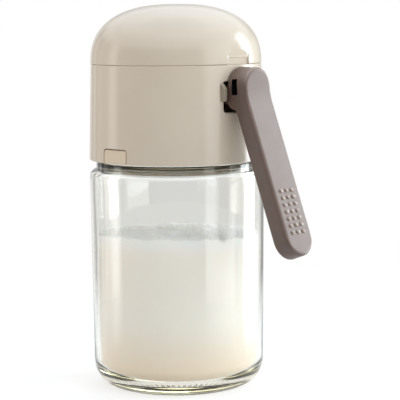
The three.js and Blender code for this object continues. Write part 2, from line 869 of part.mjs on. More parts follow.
function pressLever() {
  const half = leverHalfWidth;
  const farBelow = bladePadZ - bladeTipRun - cutOverrun * 2;
  const frontX = bladePoint(bladeTipRun, 0).x + cutOverrun;
  const topRound = prismAlongX(roundEndedStrip(leverTopZ, farBelow), 0, frontX, prismRoundSteps);
  const up = new THREE.Vector3(-bladeDown.x, 0, -bladeDown.y);
  const padUp = at(bladePadX, bladePadZ).dot(at(up.x, up.z));
  const tipStrip = roundEndedStrip(padUp - bladeTipRun, padUp + leverTopZ);
  const tipRound = prism(tipStrip, 0, bladePadX + leverTopZ, axisY, up, prismRoundSteps);
  const pocketFrontX = pivotX + hubPocketReach;
  const pocket = new THREE.Shape([
    at(pivotX - hubCheekRadius - cutOverrun, pivotZ - hubPocketHalfHeight - cutOverrun),
    at(hubHeelX, pivotZ - hubPocketHalfHeight - cutOverrun),
    at(pocketFrontX, pivotZ - hubPocketHalfHeight),
    at(pocketFrontX, pivotZ + hubPocketHalfHeight),
    at(pivotX - hubCheekRadius - cutOverrun, pivotZ + hubPocketHalfHeight),
  ]);
  const pocketHalf = armHalfWidth + runningGap;
  const windowX = pivotX + hubWindowReach;
  const windowZ = pivotZ + hubWindowRise;
  const window = roundedRectangle(
    windowX - hubWindowHalfWidth,
    windowZ - hubWindowHalfHeight,
    windowX + hubWindowHalfWidth,
    windowZ + hubWindowHalfHeight,
    hubWindowCorner,
  );
  let lever = prismAlongY(leverSideShape(), -half, half).intersect(topRound).intersect(tipRound);
  lever = lever.subtract(wallSpace());
  lever = lever.add(leverCheeks()).subtract(prismAlongY(pocket, -pocketHalf, pocketHalf));
  lever = lever.subtract(pivotBore(half + cutOverrun));
  lever = lever.subtract(prismAlongY(window, half - hubWindowDepth, half + cutOverrun, prismCornerSteps));
  lever = lever.subtract(prismAlongY(window, -half - cutOverrun, -half + hubWindowDepth, prismCornerSteps));
  for (const nub of leverNubs()) lever = lever.add(nub);
  return lever;
}

function leverArm() {
  const tailX = pivotX + hubPocketReach - runningGap;
  const tailHalf = hubPocketHalfHeight - runningGap;
  const footBottom = noseZ - noseRadius;
  const footEnd = noseX + tongueOverrun * 2;
  const shape = new THREE.Shape([
    at(tailX, pivotZ + tailHalf),
    at(pivotX, pivotZ + tailHalf),
    at(pivotX - tailHalf * 2, pivotZ - noseRadius),
    at(footEnd, noseZ),
    at(noseX, noseZ),
    at(noseX, footBottom),
    at(footEnd, footBottom),
    at(pivotX, pivotZ - tailHalf),
    at(tailX, pivotZ - tailHalf),
  ]);
  const nose = circleShape(noseX, noseZ, noseRadius);
  return prismAlongY(shape, -armHalfWidth, armHalfWidth)
    .add(prismAlongY(nose, -armHalfWidth, armHalfWidth))
    .subtract(pivotBore(armHalfWidth + cutOverrun));
}

function leverPivotPin() {
  const halfLength = earInner + earThickness - runningGap * 2;
  return prismAlongY(circleShape(pivotX, pivotZ, pivotPinRadius), -halfLength, halfLength);
}

// Lid

// How far out the dome's inside is at a height
function domeInsideAt(height) {
  const share = (height - lidBottom) / (lidRise - lidWall);
  return (lidRadius - lidWall) * (1 - share ** lidRoundness) ** (1 / lidRoundness);
}

// The dome's outline from its rim to its top, inset by a wall
function domeArc(inset, bottom) {
  const points = [];
  const radius = lidRadius - inset;
  const rise = lidRise - inset;
  for (let step = 0; step <= lidSteps; step += 1) {
    const angle = (step / lidSteps) * (Math.PI / 2);
    const across = step === lidSteps ? 0 : Math.cos(angle) ** (2 / lidRoundness);
    points.push(at(radius * across, bottom + rise * Math.sin(angle) ** (2 / lidRoundness)));
  }
  return points;
}

function domeLid() {
  const shell = revolve([...domeArc(0, lidBottom), ...domeArc(lidWall, lidBottom).reverse()]);
  const notchBottom = lidBottom - cutOverrun;
  const notchTop = lidBottom + notchHeight;
  const half = notchHalfWidth;
  const notchShape = roundedRectangle(-half, notchBottom, half, notchTop, notchCorner);
  const notchBand = ring(lidRadius - notchDepth, lidRadius + cutOverrun, notchBottom, notchTop);
  const notch = notchBand.intersect(prismAlongX(notchShape, 0, lidRadius + cutOverrun));
  const webShape = new THREE.Shape([
    at(hingeX, lidBottom),
    at(-(lidRadius - lidWall / 2), lidBottom),
    at(-(lidRadius - lidWall / 2), lidBottom + hingeWebHeight),
    at(hingeX, hingePivotZ + knuckleRadius),
  ]);
  const web = prismAlongY(webShape, -lidKnuckleHalf, lidKnuckleHalf);
  return shell
    .subtract(notch)
    .add(web)
    .add(hingeBar(knuckleRadius, lidKnuckleHalf))
    .subtract(hingeBar(hingePinRadius + runningGap, lidKnuckleHalf + cutOverrun));
}

function lidHingePin() {
  return hingeBar(hingePinRadius, housingKnuckleOuter - hingePinRecess);
}

function lidLiner() {
  const sealTop = linerCupBottom + spoutSealHeight / 2;
  const cupInner = spoutSealRadius + runningGap;
  const plateBottom = linerTop - linerThickness;
  const linerRadius = domeInsideAt(linerTop) - linerClearance;
  return revolve(
    [
      at(0, sealTop),
      at(cupInner, sealTop),
      at(cupInner, linerCupBottom),
      at(cupInner + linerCupWall, linerCupBottom),
      at(cupInner + linerCupWall, plateBottom),
      at(linerRadius, plateBottom),
      at(linerRadius, linerTop),
      at(0, linerTop),
    ],
    smallTurnSteps,
  );
}

function spoutSeal() {
  const sealTop = linerCupBottom + spoutSealHeight / 2;
  return disc(spoutSealRadius, sealTop - spoutSealHeight, sealTop);
}

// Materials

function finish(colour, roughness, metalness, opacity = 1) {
  return () =>
    new THREE.MeshStandardMaterial({
      color: new THREE.Color(colour),
      roughness,
      metalness,
      opacity,
      transparent: opacity < 1,
    });
}

const clearGlass = finish("#e6f0ec", 0.05, 0, 0.35);
const creamPlastic = finish("#d9d0c3", 0.25, 0);
const whitePlastic = finish("#e9e6df", 0.45, 0);
const taupePlastic = finish("#968a82", 0.5, 0);
const clearSilicone = finish("#d8d6d0", 0.6, 0, 0.8);
const salt = finish("#f2ece6", 0.9, 0);
const steel = finish("#b8b8ba", 0.3, 1);

// Assembly

const model = new THREE.Group();

function addPiece(name, solid, material) {
  const { vertProperties, triVerts } = solid.getMesh();
  const geometry = new THREE.BufferGeometry();
  geometry.setAttribute("position", new THREE.Float32BufferAttribute(vertProperties, 3));
  geometry.setIndex(Array.from(triVerts));
  geometry.computeVertexNormals();
  const mesh = new THREE.Mesh(geometry, material());
  mesh.name = name;
  model.add(mesh);
}

addPiece("glass_jar", glassJar(), clearGlass);
addPiece("salt_fill", saltFill(), salt);
addPiece("neck_gasket", neckGasket(), clearSilicone);

addPiece("outer_housing", outerHousing(), creamPlastic);
addPiece("screw_collar", screwCollar(), creamPlastic);
addPiece("top_deck", topDeck(), creamPlastic);
for (let number = 0; number < deckScrewCount; number += 1) {
  addPiece(`deck_screw_${number + 1}`, deckScrew(number), steel);
}
addPiece("chamber_seal", chamberSeal(), clearSilicone);
addPiece("metering_chamber", meteringChamber(), whitePlastic);
addPiece("outlet_spout", outletSpout(), whitePlastic);
addPiece("lever_pivot_pin", leverPivotPin(), steel);
addPiece("lid_hinge_pin", lidHingePin(), steel);

addPiece("press_lever", pressLever(), taupePlastic);
addPiece("lever_arm", leverArm(), taupePlastic);

addPiece("lift_carrier", liftCarrier(), whitePlastic);
addPiece("valve_rod", valveRod(), steel);
addPiece("rod_clip", rodRing(clipRadius, bridgeTop, bridgeTop + clipThickness), steel);
addPiece("outlet_plug", rodRing(outletPlugRadius, outletPlugBottom, sleeveTop), clearSilicone);
addPiece("inlet_plug", rodRing(inletPlugRadius, inletPlugBottom, inletPlugTop), clearSilicone);
addPiece("return_spring", returnSpring(), steel);

addPiece("dome_lid", domeLid(), creamPlastic);
addPiece("lid_liner", lidLiner(), whitePlastic);
addPiece("spout_seal", spoutSeal(), clearSilicone);

export default model;
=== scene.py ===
import math
import random

import bmesh
import bpy
from mathutils import Euler, Matrix, Vector, noise


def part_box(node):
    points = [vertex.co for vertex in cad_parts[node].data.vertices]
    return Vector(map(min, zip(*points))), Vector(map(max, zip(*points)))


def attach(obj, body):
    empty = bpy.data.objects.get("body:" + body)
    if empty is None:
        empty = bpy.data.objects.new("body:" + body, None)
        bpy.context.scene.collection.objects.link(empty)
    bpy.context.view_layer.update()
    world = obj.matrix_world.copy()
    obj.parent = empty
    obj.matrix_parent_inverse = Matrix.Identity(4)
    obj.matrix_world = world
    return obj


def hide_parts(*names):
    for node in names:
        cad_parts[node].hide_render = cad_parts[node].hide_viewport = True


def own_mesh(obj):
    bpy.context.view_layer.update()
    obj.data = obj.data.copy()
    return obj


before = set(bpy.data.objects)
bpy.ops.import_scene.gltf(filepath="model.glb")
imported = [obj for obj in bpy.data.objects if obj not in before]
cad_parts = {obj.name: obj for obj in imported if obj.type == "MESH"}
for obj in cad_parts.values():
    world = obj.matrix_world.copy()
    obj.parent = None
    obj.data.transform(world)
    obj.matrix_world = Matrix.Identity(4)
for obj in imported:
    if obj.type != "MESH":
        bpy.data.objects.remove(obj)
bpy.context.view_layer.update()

MM = 0.001  # metres in one of the sizes' units
NOUGHT = 0.001  # a length or a turn below this counts as none
UP = Vector((0, 0, 1))

# Roundness
LARGE_STEPS = 192
SMALL_STEPS = 72
TINY_STEPS = 32
FILLET_STEPS = 5
BAR_EDGE_STEPS = 3
SMOOTH_ANGLE = math.radians(32)

# Edge radii that small parts share
HAIR_EDGE = 0.15
FINE_EDGE = 0.2
THIN_EDGE = 0.25
SMALL_EDGE = 0.3
PLAIN_EDGE = 0.4
BROAD_EDGE = 0.5
ROUND_EDGE = 0.6
BEVEL_EDGE = 0.12
BEVEL_FINE_EDGE = 0.08

# How far a cutter reaches past what it cuts, and a piece into what it joins
OVERCUT = 1
WIDE_OVERCUT = 2
FAR_OVERCUT = 3
SINK = 0.4

# Camera, fitted to the photograph's edges
CAMERA_AZIMUTH = math.radians(44)
CAMERA_DISTANCE = 599.95
CAMERA_HEIGHT = 145.376
CAMERA_TILT = 0.1219
CAMERA_TURN = 0.0148
CAMERA_ROLL = -0.0086
CAMERA_LENS = 138.33
SENSOR_WIDTH = 36


# Places read from the frame

def low(node):
    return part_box(node)[0] / MM


def high(node):
    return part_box(node)[1] / MM


# Glass jar
JAR_RADIUS = high("glass_jar").y
JAR_TAPER = 0.55
JAR_FOOT_RADIUS = JAR_RADIUS - JAR_TAPER
JAR_CORNER_WIDTH = 7.5
JAR_CORNER_HEIGHT = 10
JAR_WALL_TOP = 82.2
JAR_SHOULDER_RISE = 2.6
JAR_INNER_SHOULDER_DROP = 1.6
JAR_INNER_SHOULDER_RISE = 6.6
JAR_WALL = 2.2
JAR_FLOOR = 4.3
JAR_INNER_CORNER = 6
JAR_CORNER_STEPS = 24
JAR_SHOULDER_STEPS = 14
JAR_INNER_SHOULDER_STEPS = 18
JAR_INNER_CORNER_STEPS = 16
JAR_BEAD_RADIUS = 31.5
JAR_BEAD_TOP = 88.2
JAR_BEAD_STEP = 0.3
JAR_BEAD_FILLET = 0.8
NECK_RADIUS = 29
NECK_FILLET = 0.8
RIM_TOP = high("glass_jar").z
RIM_FILLET = 1
RIM_DEPTH = 3
GLASS_WAVE = 0.16
GLASS_WAVE_SIZE = 16
GLASS_WAVE_ROWS = 24
GLASS_WAVE_STRETCH = 3
GLASS_WAVE_BOTTOM = JAR_FLOOR * 3
JAR_STEPS = 480
PUSH_UP = 1.5
PUSH_UP_RADIUS = 21
PUSH_UP_STEPS = 8
PUSH_UP_FLAT = 1
BEARING_STEPS = 6
KNURL_INNER = 23.6
KNURL_OUTER = 28.4
KNURL_DEPTH = 0.55
KNURL_BUMPS = 78
KNURL_TOP = JAR_FLOOR / 4
THREAD_PITCH = 4
THREAD_START = 91.6
THREAD_TURNS = 1.25
THREAD_DEPTH = 0.9
THREAD_ROOT = 0.9
THREAD_CREST = 0.45
THREAD_STEPS = 72

# Salt in the jar
SALT_GAP = 0.12
SALT_TOP = high("salt_fill").z
SALT_CROWN = 0.8
SALT_WALL_TOP = SALT_TOP - SALT_CROWN
SALT_HEAP_DEPTH = 1.5
SALT_EDGE_DROP = 1
SALT_CORNER_STEPS = 14
SALT_LUMP = 0.9
SALT_LUMP_SIZE = 7
SALT_LUMP_DETAIL = (0.9, 2, 3)  # the fractal's exponent, its step in scale and its octaves
SALT_RIPPLE = 0.35
SALT_RIPPLE_SIZE = 1.6
SALT_TOP_RINGS = 34
SALT_GRAINS = 2600
SALT_GRAIN = 0.13
SALT_GRAIN_LEAST_SHARE = 0.6
SALT_SEED = 7
SALT_TILT = 0.035  # rise towards the camera's side, for each millimetre across

# Housing
HOUSING_BOTTOM = low("outer_housing").z
LID_HINGE_DROP = 2.1
HOUSING_TOP = low("dome_lid").z + LID_HINGE_DROP
HOUSING_FOOT_RADIUS = high("outer_housing").y
HOUSING_TAPER = 1
HOUSING_TOP_RADIUS = HOUSING_FOOT_RADIUS - HOUSING_TAPER
HOUSING_WALL = 1.6
HOUSING_EDGE = 0.4
LEDGE_TOP = low("top_deck").z
LEDGE_THICKNESS = 1.4
LEDGE_WIDTH = 1.3
RUNNING_GAP = 0.3

# Lever slot, ears and pivot
PIVOT_X = 32.2
PIVOT_Z = 114.4
PIVOT = (PIVOT_X, PIVOT_Z)
PIVOT_BORE = 1.3
PIVOT_BORE_REACH = 10
PIVOT_PIN_RADIUS = 1
SLOT_HALF_WIDTH = 8.15
SLOT_BOTTOM = 107.9
SLOT_TOP = 119.5
SLOT_CORNER = 1
SLOT_CHAMFER = 0.35
EAR_INNER = 7.95
EAR_OUTER = 9.65
EAR_BOTTOM = 112.2
EAR_SHOULDER = 117
EAR_TOP = 118.8
EAR_PROUD = 1.6
EAR_DEPTH = 4.4
EAR_CORNER = 0.5
EAR_EDGE = 0.28

# Collar and its lugs
COLLAR_RADIUS = 31.94
COLLAR_BORE = 30.2
COLLAR_BOTTOM = 89.2
LEAD_IN_TOP = 96
# Radius inside which the collar's lower faces take the dark olive painted shade
PAINTED_SHADE_RADIUS = 31.5
COLLAR_DEPTH = 14.9
COLLAR_DECK_THICKNESS = 2
COLLAR_DECK_BOTTOM = low("screw_collar").z + COLLAR_DEPTH
COLLAR_DECK_TOP = COLLAR_DECK_BOTTOM + COLLAR_DECK_THICKNESS
LUG_HALF_WIDTH = 6.1
LUG_TOP = 94
LUG_CORNER = 1.2
LUG_EDGE = 0.6
LUG_SIDE_GAP = 0.12
LUG_DEPTH = 1
CHAMBER_BORE = 3.5
BOSS_CIRCLE = 23.5
BOSS_RADIUS = 2.4
BOSS_HOLE_RADIUS = 1.3
BOSS_HOLE_BOTTOM = 110.5
SCREW_COUNT = 3

# Top deck and screws
DECK_TOP = 123.5
DECK_BOTTOM = low("top_deck").z
DECK_RADIUS = high("top_deck").y
DECK_RING_INSET = 0.9
DECK_RING_WALL = 1.5
DECK_RING_EDGE = 0.45
DECK_RING_OUTER = DECK_RADIUS - DECK_RING_INSET
DECK_RING_INNER = DECK_RING_OUTER - DECK_RING_WALL
DECK_RING_TOP = high("top_deck").z
DECK_HOLE = 9.3
SCREW_HEAD_RADIUS = 2
SCREW_HEAD_HEIGHT = 1.2
SCREW_CROWN_WIDTH = 0.9
SCREW_CROWN_HEIGHT = 0.8
SCREW_CROWN_STEPS = 8
SCREW_SHANK_RADIUS = 1
SCREW_LENGTH = 10
SCREW_RECESS = 0.8
SCREW_CROSS_HALF = 0.28
SCREW_CROSS_REACH = 1.25
SCREW_CROSS_STEPS = 2

# Lid
LID_BOTTOM = 125.7
LID_RADIUS = high("dome_lid").y
LID_RISE = high("dome_lid").z - LID_BOTTOM
LID_ROUNDNESS = 2.46
LID_WALL = 1.8
LID_EDGE = 0.35
LID_STEPS = 44
NOTCH_HALF_WIDTH = 6.3
NOTCH_TOP = 133
NOTCH_CORNER = 1.5
NOTCH_DEPTH = 0.75
NOTCH_ROLL = 0.8
NOTCH_STEPS = 12
NOTCH_FLARE = 0.01
NOTCH_TOP_SLOPE = 5

# Hinge
HINGE_X = -35.6
HINGE_Z = 125.5
HINGE = (HINGE_X, HINGE_Z)
KNUCKLE_RADIUS = 2
LID_KNUCKLE_HALF = 3.6
HOUSING_KNUCKLE_INNER = 3.9
HOUSING_KNUCKLE_OUTER = 8.9
HINGE_PIN_RADIUS = 0.9
HINGE_BORE = HINGE_PIN_RADIUS + 0.1
HINGE_BORE_REACH = 12
LID_BORE_REACH = 6
HINGE_SEAM = 0.02
HINGE_WEB_HEIGHT = 1.8
HINGE_BRACKET_DROP = 6

# Spout, liner and seal
SPOUT_TOP = high("outlet_spout").z
SPOUT_SKIRT_BOTTOM = low("outlet_spout").z
SPOUT_FLANGE_RADIUS = high("outlet_spout").y
SPOUT_FLANGE_THICKNESS = 1.4
SPOUT_FLANGE_EDGE = 0.7
SPOUT_CONE_FILLET = 1
SPOUT_THROAT_FILLET = 2
SPOUT_SKIRT_RADIUS = 9
SPOUT_SKIRT_BORE = 7.8
SPOUT_CONE_RADIUS = 11.4
SPOUT_TIP_RADIUS = 5.6
SPOUT_LIP_RADIUS = 6.1
SPOUT_LIP_HEIGHT = 1.4
SPOUT_BORE = 3.9
SPOUT_THROAT_BOTTOM = 124.43
SPOUT_THROAT_RISE = 6
LINER_TOP = high("lid_liner").z
LINER_CUP_BOTTOM = low("lid_liner").z
LINER_RADIUS = high("lid_liner").y
LINER_THICKNESS = 1.2
LINER_CUP_WALL = 1.2
LINER_FILLET = 0.8
SEAL_RADIUS = high("spout_seal").y
SEAL_BOTTOM = low("spout_seal").z
SEAL_TOP = high("spout_seal").z
SEAL_FOOT_INSET = 2

# Press lever
LEVER_HALF_WIDTH = 7.2
LEVER_TOP = 124.8
LEVER_FRONT_X = 42.2
LEVER_TILT = math.radians(20.8)
LEVER_PAD_X = 55.75
LEVER_PAD_Z = 79.9
LEVER_TIP_RUN = 24.9
LEVER_THICKNESS = 7.2
LEVER_BEND_RADIUS = 26
LEVER_BACK_X = 32.9
LEVER_BACK_Z = 110.8
LEVER_HEEL_X = 34.5
LEVER_HEEL_Z = 109.4
LEVER_STEP_X = 37.1
LEVER_BACK_FILLET = 1.2
LEVER_HEEL_FILLET = 0.6
LEVER_STEP_FILLET = 0.8
LEVER_EDGE = 1.25
LEVER_BACK_EDGE = 1
LEVER_ROWS = 110
LEVER_ROUND_STEPS = 20
LEVER_PAST_END = 5
CHEEK_RADIUS = 3.1
CHEEK_STEPS = 16
POCKET_HALF_WIDTH = 3.3
POCKET_FRONT_X = 40
POCKET_HALF_HEIGHT = 3.4
WINDOW_X = 36.7
WINDOW_Z = 117.6
WINDOW_HALF_WIDTH = 1.25
WINDOW_HALF_HEIGHT = 2.9
WINDOW_DEPTH = 2.8
WINDOW_CORNER = 0.3
WINDOW_BEVEL = 0.15
WINDOW_SLANT = math.radians(5)
NUB_ROWS = 7
NUB_COLUMNS = 3
NUB_ROW_PITCH = 2.66
NUB_COLUMN_PITCH = 2.95
NUB_RADIUS = 0.85
NUB_HEIGHT = 0.65
NUB_STEPS = 20
NUB_CROWN_STEPS = 8

# Return spring
SPRING_TOP = high("return_spring").z
SPRING_BOTTOM = low("return_spring").z
SPRING_WIRE = 0.4
SPRING_RADIUS = high("return_spring").y - SPRING_WIRE
SPRING_COILS = 5
SPRING_STEPS = 48
SPRING_SIDES = 12


# Outlines: lists of 2-D points, and what they are made with

def polar(radius, angle, height=0):
    return Vector((radius * math.cos(angle), radius * math.sin(angle), height))


def quarter_turn(steps):
    """Angles from nought to a right angle, in even steps."""
    return [step / steps * math.pi / 2 for step in range(steps + 1)]


def arc(centre, radius_x, radius_y, start, end, steps=FILLET_STEPS):
    """Points on a part of an ellipse, with angles in quarter turns."""
    points = []
    for step in range(steps + 1):
        angle = (start + (end - start) * step / steps) * math.pi / 2
        offset = Vector((radius_x * math.cos(angle), radius_y * math.sin(angle)))
        points.append(Vector(centre) + offset)
    return points


def filleted(corners, steps=FILLET_STEPS):
    """A closed outline of (x, y) or (x, y, radius) corners, with an arc where a radius is given."""
    points = []
    for number, corner in enumerate(corners):
        place = Vector(corner[:2])
        if len(corner) < 3:
            points.append(place)
            continue
        back = (Vector(corners[number - 1][:2]) - place).normalized()
        onward = (Vector(corners[(number + 1) % len(corners)][:2]) - place).normalized()
        half = back.angle(onward) / 2
        centre = place + (back + onward).normalized() * corner[2] / math.sin(half)
        first = place + back * corner[2] / math.tan(half) - centre
        last = place + onward * corner[2] / math.tan(half) - centre
        turn = first.angle_signed(last)
        for step in range(steps + 1):
            points.append(centre + Matrix.Rotation(-turn * step / steps, 2) @ first)
    return points


def rounded_box(half, bottom, top, corner, steps=FILLET_STEPS, top_slope=0):
    """A round-cornered box as a function of how far it grows; its top may move by a share of that."""
    def outline_at(grow):
        radius = corner + grow
        side = half - corner
        low_y = bottom + corner
        high_y = top - corner + grow * top_slope
        points = []
        for turn, centre in enumerate(((side, low_y), (side, high_y), (-side, high_y), (-side, low_y))):
            points += arc(centre, radius, radius, turn - 1, turn, steps)
        return points

    return outline_at


def circle(centre, radius, steps=SMALL_STEPS):
    return arc(centre, radius, radius, 0, 4 * (1 - 1 / steps), steps - 1)


# Meshes

def new_piece(name, points, faces):
    """An object of points in millimetres, with its faces turned outward."""
    mesh = bpy.data.meshes.new(name)
    mesh.from_pydata([Vector(point) * MM for point in points], [], faces)
    edit = bmesh.new()
    edit.from_mesh(mesh)
    bmesh.ops.remove_doubles(edit, verts=edit.verts, dist=NOUGHT * MM)
    bmesh.ops.recalc_face_normals(edit, faces=edit.faces)
    edit.to_mesh(mesh)
    edit.free()
    piece = bpy.data.objects.new(name, mesh)
    bpy.context.scene.collection.objects.link(piece)
    return piece


def one_face(ring):
    return [ring]


def lofted(name, loops, closed=False, cap=one_face):
    """A skin over loops of points, where a loop of one point is a pole; cap makes the ends' faces."""
    points, rings, faces = [], [], []
    for loop in loops:
        rings.append(list(range(len(points), len(points) + len(loop))))
        points += loop
    pairs = list(zip(rings, rings[1:]))
    if closed:
        pairs.append((rings[-1], rings[0]))
    for one, other in pairs:
        for step in range(max(len(one), len(other))):
            following = step + 1
            corners = [
                one[step % len(one)],
                one[following % len(one)],
                other[following % len(other)],
                other[step % len(other)],
            ]
            faces.append(list(dict.fromkeys(corners)))
    if cap:
        faces += cap(rings[0]) + cap(rings[-1])
    return new_piece(name, points, faces)


def turned(name, outline, steps=LARGE_STEPS, shift=None):
    """An outline of (radius, height) points turned round Z; shift may move each point."""
    loops = []
    for radius, height in outline:
        around_axis = range(1 if radius < NOUGHT else steps)
        loop = [polar(radius, math.tau * step / steps, height) for step in around_axis]
        loops.append([shift(point) for point in loop] if shift else loop)
    ends_on_axis = len(loops[0]) == 1 and len(loops[-1]) == 1
    return lofted(name, loops, not ends_on_axis, None)


def layered(name, layers, outline_at, place):
    """A solid of stacked outlines. Each layer is (grow, height), and place maps (x, y, height)."""
    return lofted(name, [[place(x, y, height) for x, y in outline_at(grow)] for grow, height in layers])


def round_edge(radius, steps=FILLET_STEPS):
    """(inset, rise) pairs from a flat end round its edge to its side."""
    angles = quarter_turn(steps)
    return [(radius * (1 - math.sin(angle)), radius * (1 - math.cos(angle))) for angle in angles]


def edge_layers(bottom, top, edge_bottom, edge_top, steps=FILLET_STEPS):
    """Layers of a plate between two heights, with its edges rounded by these radii."""
    layers = [(-inset, bottom + rise) for inset, rise in round_edge(edge_bottom, steps)]
    return layers + [(-rise, top - inset) for inset, rise in round_edge(edge_top, steps)]


def swept(name, section, turns, steps_per_turn, pitch, rise):
    """A closed section of (radius, height) points swept along a screw line."""
    loops = []
    for step in range(round(turns * steps_per_turn) + 1):
        turn = step / steps_per_turn
        loops.append([polar(x, turn * math.tau, y + rise + turn * pitch) for x, y in section])
    return lofted(name, loops)


def upright(x, y, height):
    return Vector((x, y, height))


def along_y(x, y, height):
    return Vector((x, height, y))


def combine(piece, other, operation):
    """Joins a closed mesh to another or cuts it out, and deletes it."""
    change = piece.modifiers.new("combine", "BOOLEAN")
    change.operation = operation
    change.solver = "EXACT"
    change.material_mode = "TRANSFER" if other.data.materials else "INDEX"
    change.object = other
    shape = piece.evaluated_get(bpy.context.evaluated_depsgraph_get())
    mesh = bpy.data.meshes.new_from_object(shape)
    piece.modifiers.clear()
    piece.data = mesh
    bpy.data.objects.remove(other)


def cut(piece, *cutters):
    for cutter in cutters:
        combine(piece, cutter, "DIFFERENCE")


def join(piece, *others):
    for other in others:
        combine(piece, other, "UNION")
    return piece


def dress(piece, body, slot, finish, *nodes):
    """Shades a finished piece and hands it to the frame: its body and replaced nodes. Its slot is not
    used.
    """
    piece.data.shade_smooth()
    piece.data.set_sharp_from_angle(angle=SMOOTH_ANGLE)
    even = piece.modifiers.new("even shading", "WEIGHTED_NORMAL")
    even.keep_sharp = True
    if not piece.data.materials:
        piece.data.materials.append(finish)
    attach(piece, body)
    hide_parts(*nodes)


# Materials

FIELD_LOW = 0.3  # where a noise field's range is taken to start and end
FIELD_HIGH = 0.7
MOTTLE = (90, 3)  # a noise: its bumps a metre and its detail
SHEEN = (240, 4)
GRAIN_DETAIL = 2
GRAIN_STRENGTH = 0.35
PLASTIC_IOR = 1.5
# Plastics: two colours, roughness from and to, the grain's bumps a metre, its depth, and gloss
PLASTICS = {
    "cream_plastic": ((208, 196, 180), (203, 190, 174), (0.15, 0.2), 900, 0.004, 0.5),
    "collar_plastic": ((206, 189, 166), (201, 183, 160), (0.2, 0.26), 900, 0.004, 0.5),
    # The dark olive on the collar's lower end and thread is painted shade, for the dark band seen through
    # the glass neck under the housing.
    "thread_painted_shade": ((112, 104, 82), (106, 98, 76), (0.4, 0.5), 900, 0.004, 0.5),
    # The ears' darker cream is painted shade: they are the housing's cream plastic, darkened where they
    # lie in shade.
    "ear_painted_shade": ((150, 139, 122), (144, 133, 116), (0.3, 0.36), 900, 0.004, 0.5),
    # recess_painted_shade is painted shade: near-black for the inside of recesses, where only shade
    # falls.
    "taupe_plastic": ((80, 56, 44), (75, 51, 40), (0.42, 0.48), 2600, 0.02, 1),
    # The nubs' lighter taupe is a painted highlight; their lower roughness is a real polish from use.
    "nub_painted_highlight": ((160, 143, 133), (153, 136, 126), (0.16, 0.22), 2600, 0.01, 1),
    "white_plastic": ((232, 229, 222), (226, 222, 214), (0.32, 0.42), 1600, 0.008, 0.5),
    "recess_painted_shade": ((16, 12, 11), (11, 8, 8), (0.7, 0.8), 1500, 0.02, 0.1),
}
SILICONE_LOOK = {"Transmission Weight": 0.25, "IOR": 1.41}
SILICONE_COLOURS = ((224, 222, 214), (214, 211, 203))
SILICONE_ROUGHNESS = (0.5, 0.62)
SILICONE_FIELDS = ((160, 2), (400, 3), (2200, 2))
SILICONE_RELIEF = (0.3, 0.01)
STEEL_COLOURS = ((200, 200, 202), (172, 172, 176))
STEEL_ROUGHNESS = (0.2, 0.34)
STEEL_LINES = (700, 3, (1, 0.08, 1))
STEEL_RELIEF = (0.2, 0.006)
SALT_LOOK = {
    "Roughness": 0.6,
    "Specular IOR Level": 0.2,
    "Subsurface Weight": 0.4,
    "Subsurface Radius": (1, 0.8, 0.7),
    "Subsurface Scale": 4 * MM,
}
SALT_PAINTED_LIGHT = [  # height in the jar and colour there: warmer towards the base as painted warm light, whitest at the top as painted light on the surface
    (0, (255, 227, 198)),
    (6, (255, 229, 203)),
    (28, (255, 246, 239)),
    (54, (255, 247, 241)),
    (59, (255, 254, 255)),
    (SALT_TOP, (255, 254, 255)),
]
SALT_CELLS = 3200
SALT_CELL_REACH = 0.8
SALT_SPECK = (1.04, 0.96)
SALT_RELIEF = (0.4, 0.08)
GLASS_LOOK = {"Base Color": (0.995, 0.997, 0.99, 1), "Transmission Weight": 1, "IOR": 1.5}
GLASS_ROUGHNESS = (0, 0.02)
GLASS_SHEEN = (60, 2)
GLASS_RIPPLE = (45, 2)
GLASS_RELIEF = (0.25, 0.05)
GLASS_CLEAR = (0.995, 0.995, 0.99, 1)
GLASS_DEPTH = {"Color": (0.84, 0.78, 0.42, 1), "Density": 20}


def srgb(red, green, blue):
    """A colour of 0 to 255 screen values as the linear values that Blender takes."""
    shares = [value / 255 for value in (red, green, blue)]
    linear = [s / 12.92 if s <= 0.04045 else ((s + 0.055) / 1.055) ** 2.4 for s in shares]
    return (*linear, 1)


def grey(level):
    return (level, level, level, 1)


def new_material(name, look):
    """A material with these values on its shader's own sockets."""
    made = bpy.data.materials.new(name)
    made.use_nodes = True
    shader = made.node_tree.nodes["Principled BSDF"]
    for socket, value in look.items():
        shader.inputs[socket].default_value = value
    return made, made.node_tree, shader


def fill(tree, target, value):
    """Links a socket to an input, or sets the input to a plain value."""
    if isinstance(value, bpy.types.NodeSocket):
        tree.links.new(value, target)
    else:
        target.default_value = value


def add_node(tree, kind, values=None, **settings):
    made = tree.nodes.new("ShaderNode" + kind)
    for name, value in settings.items():
        setattr(made, name, value)
    for name, value in (values or {}).items():
        fill(tree, made.inputs[name], value)
    return made


def noise_field(tree, scale, detail, stretch=(1, 1, 1)):
    """Noise over the object's own space; scale is in bumps a metre."""
    place = add_node(tree, "TexCoord").outputs["Object"]
    mapped = add_node(tree, "Mapping", {"Vector": place, "Scale": stretch}).outputs["Vector"]
    return add_node(tree, "TexNoise", {"Vector": mapped, "Scale": scale, "Detail": detail}).outputs["Fac"]


def ranged(tree, value, start, end, to_start=0, to_end=1):
    """A value moved from one range to another and kept inside it."""
    ends = {"From Min": start, "From Max": end, "To Min": to_start, "To Max": to_end}
    return add_node(tree, "MapRange", {"Value": value, **ends}).outputs["Result"]


def mixed(tree, factor, one, other, **settings):
    """A mix of two colours, each a colour or a socket."""
    mix = add_node(tree, "Mix", data_type="RGBA", **settings)
    sides = [socket for socket in mix.inputs if socket.type == "RGBA"]
    for target, value in zip((mix.inputs["Factor"], *sides), (factor, one, other)):
        fill(tree, target, value)
    return next(socket for socket in mix.outputs if socket.type == "RGBA")


